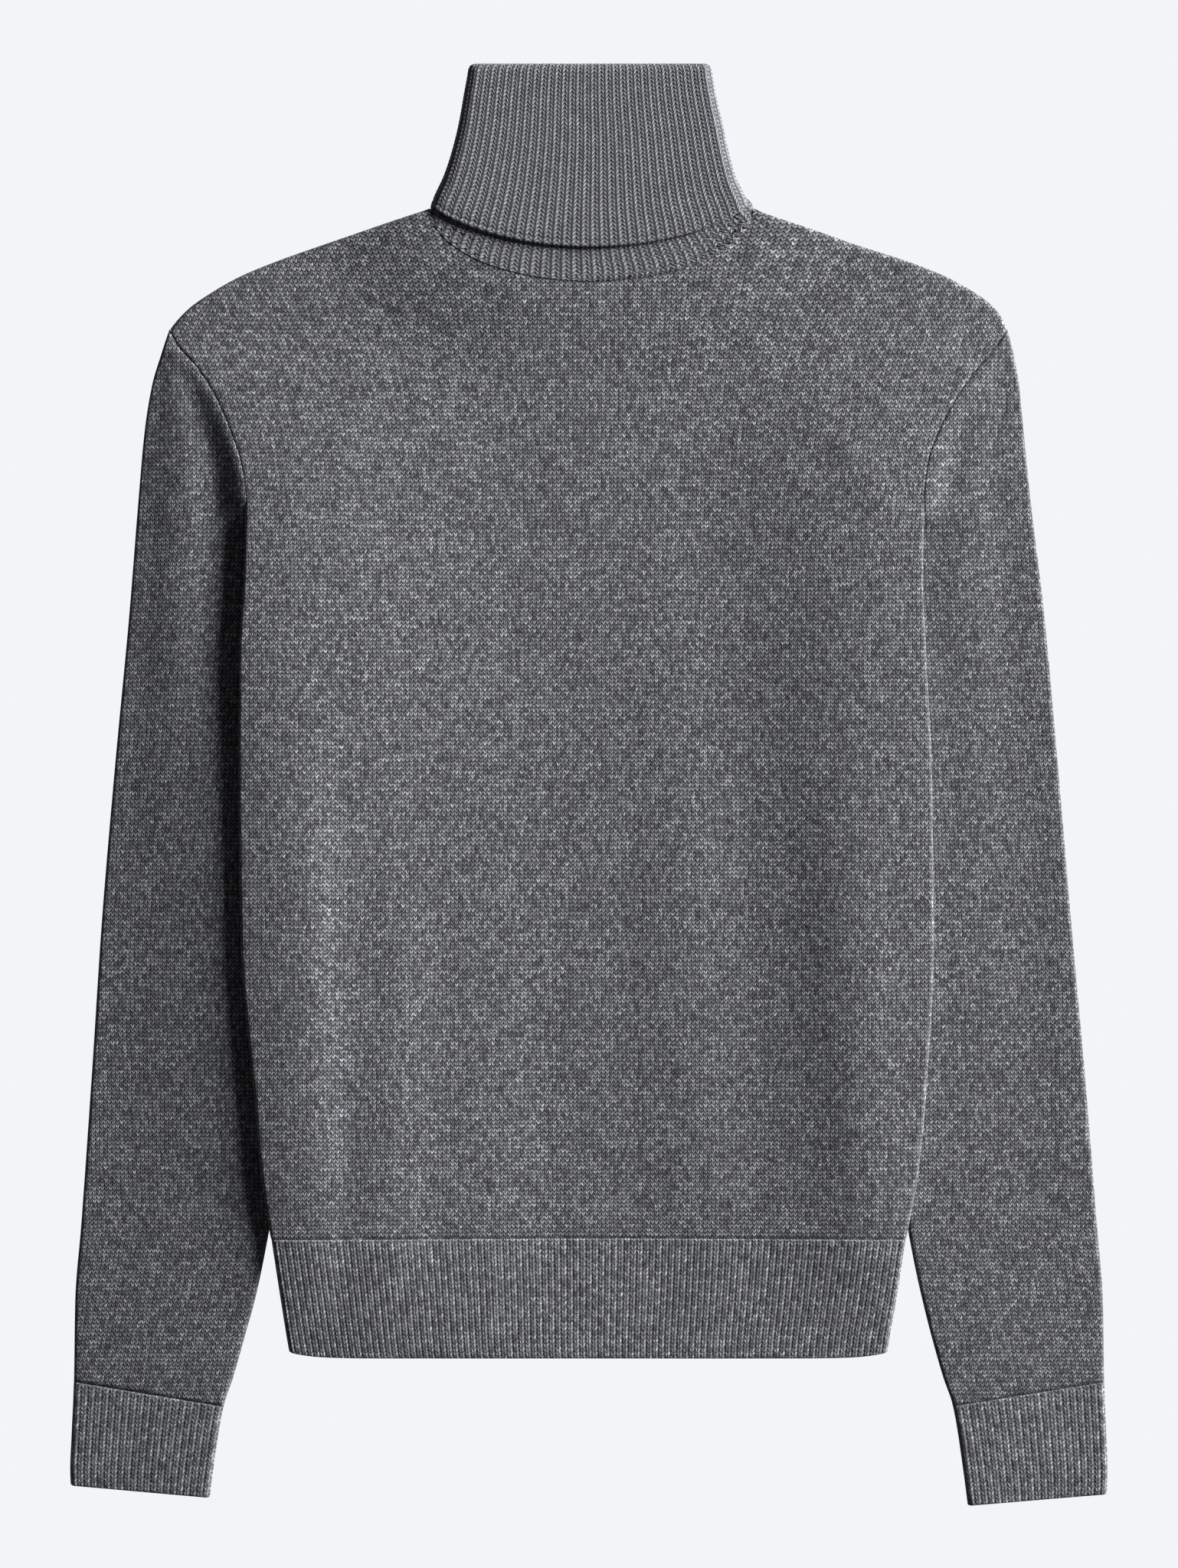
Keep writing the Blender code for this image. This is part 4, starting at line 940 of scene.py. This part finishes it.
class Formula:
    """Shader nodes written as formulas."""

    def __init__(self, name):
        self.material = bpy.data.materials.new(name)
        self.material.use_nodes = True
        self.tree = self.material.node_tree
        self.shader = self.tree.nodes["Principled BSDF"]

    def put(self, socket, value):
        if isinstance(value, bpy.types.NodeSocket):
            self.tree.links.new(value, socket)
        else:
            socket.default_value = value

    def math(self, operation, *values):
        node = self.tree.nodes.new("ShaderNodeMath")
        node.operation = operation
        for socket, value in zip(node.inputs, values):
            self.put(socket, value)
        return node.outputs[0]

    def plus(self, a, b):
        return self.math("ADD", a, b)

    def minus(self, a, b):
        return self.math("SUBTRACT", a, b)

    def times(self, a, b):
        return self.math("MULTIPLY", a, b)

    def knit(self):
        """The knit coordinates: wales or ribs across, courses along."""
        uv = self.tree.nodes.new("ShaderNodeUVMap")
        uv.uv_map = "knit"
        split = self.tree.nodes.new("ShaderNodeSeparateXYZ")
        self.put(split.inputs[0], uv.outputs[0])
        return split.outputs[0], split.outputs[1]

    def noise(self, spots):
        """Soft noise over the shared frame, from 0 to 1."""
        place = self.tree.nodes.new("ShaderNodeTexCoord")
        node = self.tree.nodes.new("ShaderNodeTexNoise")
        self.put(node.inputs["Vector"], place.outputs["Object"])
        node.inputs["Scale"].default_value = 1 / (spots.size * MM)
        node.inputs["Detail"].default_value = spots.detail
        node.inputs["Roughness"].default_value = spots.roughness
        return node.outputs["Fac"]

    def stray(self, value, spots, reach):
        """The value plus soft noise of up to half the reach either way."""
        noise = self.minus(self.noise(spots), 0.5)
        return self.plus(value, self.times(noise, reach))

    def chance(self, x, y):
        """One random number for each whole pair of numbers."""
        pair = self.tree.nodes.new("ShaderNodeCombineXYZ")
        self.put(pair.inputs[0], x)
        self.put(pair.inputs[1], y)
        node = self.tree.nodes.new("ShaderNodeTexWhiteNoise")
        node.noise_dimensions = "2D"
        self.put(node.inputs["Vector"], pair.outputs[0])
        return node.outputs["Value"]

    def ramp(self, value, low, high, to_low=0.0, to_high=1.0):
        """A smooth step between two numbers as the value goes from low to high."""
        node = self.tree.nodes.new("ShaderNodeMapRange")
        node.interpolation_type = "SMOOTHSTEP"
        for socket, number in zip(node.inputs, (value, low, high, to_low, to_high)):
            self.put(socket, number)
        return node.outputs[0]

    def around_one(self, value, reach):
        """A factor within reach of 1, from a value between 0 and 1."""
        return self.plus(1 - reach, self.times(value, 2 * reach))


# A knit's look. Centred is 0.5 where whole numbers lie on the middles of ribs, lean is how many
# courses a stitch's legs climb to the sides of its wale, and relief is the yarn's height in
# millimetres, of which a share is left in the middle of each wale and at its outer sides.
# Painted gap shade is the share of the colour left in the gaps between the yarn, as painted shade,
# wander and drift are how far wales and courses stray, in stitches, and unlike and flecks how much
# stitches and fibres differ in tone.
Knit = namedtuple("Knit", "centred lean relief middle outer hollow wander drift unlike flecks")
PLAIN_KNIT = Knit(0.0, 0.66, 0.17, 0.75, 0.45, 0.02, 0.35, 0.6, 0.45, 0.7)
RIB_KNIT = Knit(0.5, 0.7, 0.25, 0.25, 0.5, 0.5, 0.1, 0.5, 0.35, 0.75)
COLLAR_KNIT = Knit(0.5, COLLAR_LEAN, 0.3, 0.0, 0.85, 0.35, 0.05, 0.1, 0.12, 0.4)

# The wool: its colour, a darker copy of it as painted shade, and its noise with spots of a size in
# millimetres
GREY = (0.176, 0.179, 0.194)
SHADED_GREY = (0.157, 0.16, 0.173)  # painted shade: the same wool made darker for the sleeves and cuffs
Spots = namedtuple("Spots", "size detail roughness")
WANDER_SPOTS = Spots(5.0, 2.0, 0.5)
DRIFT_SPOTS = Spots(7.0, 2.0, 0.5)
MOTTLE_SPOTS = Spots(9.0, 3.0, 0.5)
FLECK_SPOTS = Spots(0.9, 3.0, 0.8)
FIBRE_SPOTS = Spots(0.35, 2.0, 0.6)
MOTTLE = 0.12  # how much the mottle differs in tone
FLECK_DARK = 0.34  # flecks are darkest where their noise is below this
FLECK_LIGHT = 0.66  # and lightest where it is above this
PAINTED_CROWN_LIGHT = 1.5  # painted light: tone of the highest yarn, as a share of the wool's colour
MIDDLE_END = 0.5  # share of the way to the wale's side where its low middle ends
OUTER_START = 0.4  # and where its low outer part starts
LEG = 0.25  # sets the random numbers of a stitch's two legs apart
WHOLE = 0.5  # and the whole stitch's from theirs
LUCK_HEIGHT = 0.25  # how much the legs and the fibres differ in height, in reliefs
FIBRE_HEIGHT = 0.35
WOOL_SHADER = {
    "Roughness": 0.92,
    "Specular IOR Level": 0.2,
    "Sheen Weight": 0.15,
    "Sheen Roughness": 0.6,
}


def wool(name, colour, knit):
    """Heathered wool in knit stitches, whose legs rise to both sides of each wale or rib."""
    f = Formula(name)
    across, along = f.knit()
    shifted = f.plus(f.stray(across, WANDER_SPOTS, knit.wander), knit.centred)
    wale = f.math("FLOOR", shifted)
    offset = f.minus(f.math("FRACT", shifted), 0.5)
    aside = f.times(f.math("ABSOLUTE", offset), 2.0)
    climb = f.times(aside, knit.lean)
    rising = f.minus(f.stray(along, DRIFT_SPOTS, knit.drift), climb)
    course = f.math("FLOOR", rising)
    swing = f.minus(f.times(f.math("FRACT", rising), 2.0), 1.0)
    yarn = f.minus(1.0, f.times(swing, swing))
    middle = f.ramp(aside, 0.0, MIDDLE_END, knit.middle, 1.0)
    outer = f.ramp(aside, OUTER_START, 1.0, 1.0, knit.outer)
    standing = f.times(f.times(yarn, middle), outer)

    side = f.times(f.math("SIGN", offset), LEG)
    leg_luck = f.chance(f.plus(wale, side), course)
    stitch_luck = f.chance(wale, f.plus(course, WHOLE))
    fleck = f.ramp(f.noise(FLECK_SPOTS), FLECK_DARK, FLECK_LIGHT)
    # painted shade in the gaps between the yarn and painted light on its highest parts, by how far
    # it stands
    painted_shading_and_tone = f.ramp(standing, 0.0, 1.0, knit.hollow, PAINTED_CROWN_LIGHT)
    for value, reach in (
        (leg_luck, knit.unlike),
        (stitch_luck, knit.unlike),
        (fleck, knit.flecks),
        (f.noise(MOTTLE_SPOTS), MOTTLE),
    ):
        painted_shading_and_tone = f.times(painted_shading_and_tone, f.around_one(value, reach))
    shaded = f.tree.nodes.new("ShaderNodeVectorMath")
    shaded.operation = "SCALE"
    shaded.inputs[0].default_value = colour
    f.put(shaded.inputs["Scale"], painted_shading_and_tone)
    f.put(f.shader.inputs["Base Color"], shaded.outputs[0])

    height = f.plus(standing, f.times(leg_luck, LUCK_HEIGHT))
    fibre = f.times(f.noise(FIBRE_SPOTS), FIBRE_HEIGHT)
    bump = f.tree.nodes.new("ShaderNodeBump")
    bump.inputs["Strength"].default_value = 1.0
    bump.inputs["Distance"].default_value = knit.relief * MM
    f.put(bump.inputs["Height"], f.plus(height, fibre))
    f.put(f.shader.inputs["Normal"], bump.outputs[0])
    for socket, number in WOOL_SHADER.items():
        f.shader.inputs[socket].default_value = number
    return f.material


def matt(name, colour):
    """A material of one colour with no gloss at all."""
    f = Formula(name)
    f.shader.inputs["Base Color"].default_value = colour
    f.shader.inputs["Specular IOR Level"].default_value = 0.0
    return f


# Floor, light and camera, in metres unless a comment says otherwise

FLOOR_REACH = 14.0  # from the middle to each side
FLOOR_COLOUR = (0.0, 0.0, 0.0, 1.0)  # the floor only glows, so no shadow shows on it
FLOOR_GLOW = (0.896, 0.905, 0.939, 1.0)
# the dark sheet below the body is a painted shadow
SHADE_COLOUR = (0.01, 0.01, 0.012, 1.0)
SHADE_LEVELS = 16  # along each side of the dark sheet
SHADE_INSET = 5.0  # in millimetres, from the body's edges
SHADE_LIFT = 0.01  # in millimetres, over the floor
SKY_COLOUR = (0.93, 0.96, 1.0, 1.0)
SKY_STRENGTH = 0.055
KEY_AZIMUTH = 25.0  # in degrees, from +X towards +Y
KEY_ELEVATION = 17.0  # in degrees
KEY_DISTANCE = 4.6
KEY_SIZE = 2.5
KEY_POWER = 640.0  # in watts
LENS = 85.0  # in millimetres, as the sensor is
SENSOR = 36.0  # on the longer side of the picture
PICTURE_HEIGHT = 2048  # in pixels
PIXEL = 0.4412  # millimetres of the garment for each pixel
SCALE_LIFT = 0.006  # height over the floor where that scale is true


def level_face(name, corners, material):
    """A face of the stage, which throws no light up at the garment."""
    mesh = bpy.data.meshes.new(name)
    mesh.from_pydata(corners, [], [range(len(corners))])
    mesh.materials.append(material)
    face = bpy.data.objects.new(name, mesh)
    bpy.context.scene.collection.objects.link(face)
    face.visible_diffuse = False
    return face


def pale_floor():
    """A floor that is equally bright all over."""
    far = FLOOR_REACH
    corners = [(-far, -far, 0), (far, -far, 0), (far, far, 0), (-far, far, 0)]
    pale = matt("pale_floor", FLOOR_COLOUR)
    pale.shader.inputs["Emission Color"].default_value = FLOOR_GLOW
    pale.shader.inputs["Emission Strength"].default_value = 1.0
    floor = level_face("floor", corners, pale.material)


def shade():
    """A dark sheet on the floor below the body, a painted shadow where a real floor lies in the
    garment's shadow.
    """
    levels = np.linspace(HEM_Y, UNDERARM_Y, SHADE_LEVELS)
    left = body_edge("left", levels) + SHADE_INSET
    right = body_edge("right", levels) - SHADE_INSET
    x, y = np.concatenate([left, right[::-1]]), np.concatenate([levels, levels[::-1]])
    corners = stacked(x, y, SHADE_LIFT) * MM
    sheet = level_face("shade", corners.tolist(), matt("painted_floor_shadow", SHADE_COLOUR).material)


def sky(scene):
    """Faint light from all round."""
    world = bpy.data.worlds.new("studio")
    world.use_nodes = True
    background = world.node_tree.nodes["Background"]
    background.inputs["Color"].default_value = SKY_COLOUR
    background.inputs["Strength"].default_value = SKY_STRENGTH
    scene.world = world


def key_light(scene):
    """A round soft light, low at the garment's right."""
    light = bpy.data.lights.new("key", "AREA")
    light.shape = "DISK"
    light.size = KEY_SIZE
    light.energy = KEY_POWER
    a, e = math.radians(KEY_AZIMUTH), math.radians(KEY_ELEVATION)
    away = Vector((math.cos(e) * math.cos(a), math.cos(e) * math.sin(a), math.sin(e)))
    lamp = bpy.data.objects.new("key", light)
    lamp.location = away * KEY_DISTANCE
    lamp.rotation_euler = away.to_track_quat("Z", "Y").to_euler()
    scene.collection.objects.link(lamp)


def camera(scene):
    """A camera straight above the garment."""
    optics = bpy.data.cameras.new("camera")
    optics.lens = LENS
    optics.sensor_width = SENSOR
    viewer = bpy.data.objects.new("camera", optics)
    distance = PICTURE_HEIGHT * PIXEL * MM * LENS / SENSOR
    viewer.location = (0.0, 0.0, distance + SCALE_LIFT)
    scene.collection.objects.link(viewer)
    scene.camera = viewer


def studio():
    """The stage round the garment."""
    scene = bpy.context.scene
    scene.view_settings.view_transform = "Standard"
    scene.view_settings.look = "None"
    pale_floor()
    shade()
    sky(scene)
    key_light(scene)
    camera(scene)


def main():
    plain = wool("plain_wool", GREY, PLAIN_KNIT)
    # the sleeves and cuffs take the darker copy of the wool, as painted shade
    sleeve_painted_shade = wool("sleeve_wool_painted_shade", SHADED_GREY, PLAIN_KNIT)
    ribs = wool("rib_wool", GREY, RIB_KNIT)
    cuff_ribs_painted_shade = wool("cuff_wool_painted_shade", SHADED_GREY, RIB_KNIT)
    neck_ribs = wool("collar_wool", GREY, COLLAR_KNIT)
    front = body_panel("body_front", 1, FRONT_NECK_DROP, plain)
    back = body_panel("body_back", -1, BACK_NECK_DROP, plain)
    hem_front = hem_panel("hem_rib_front", 1, HEM_GROOVE, ribs)
    hem_back = hem_panel("hem_rib_back", -1, 0.0, ribs)
    sleeves = [sleeve(side, sleeve_painted_shade) for side in SIGN]
    cuffs = [cuff(side, cuff_ribs_painted_shade) for side in SIGN]
    neck = collar(neck_ribs)
    studio()


main()
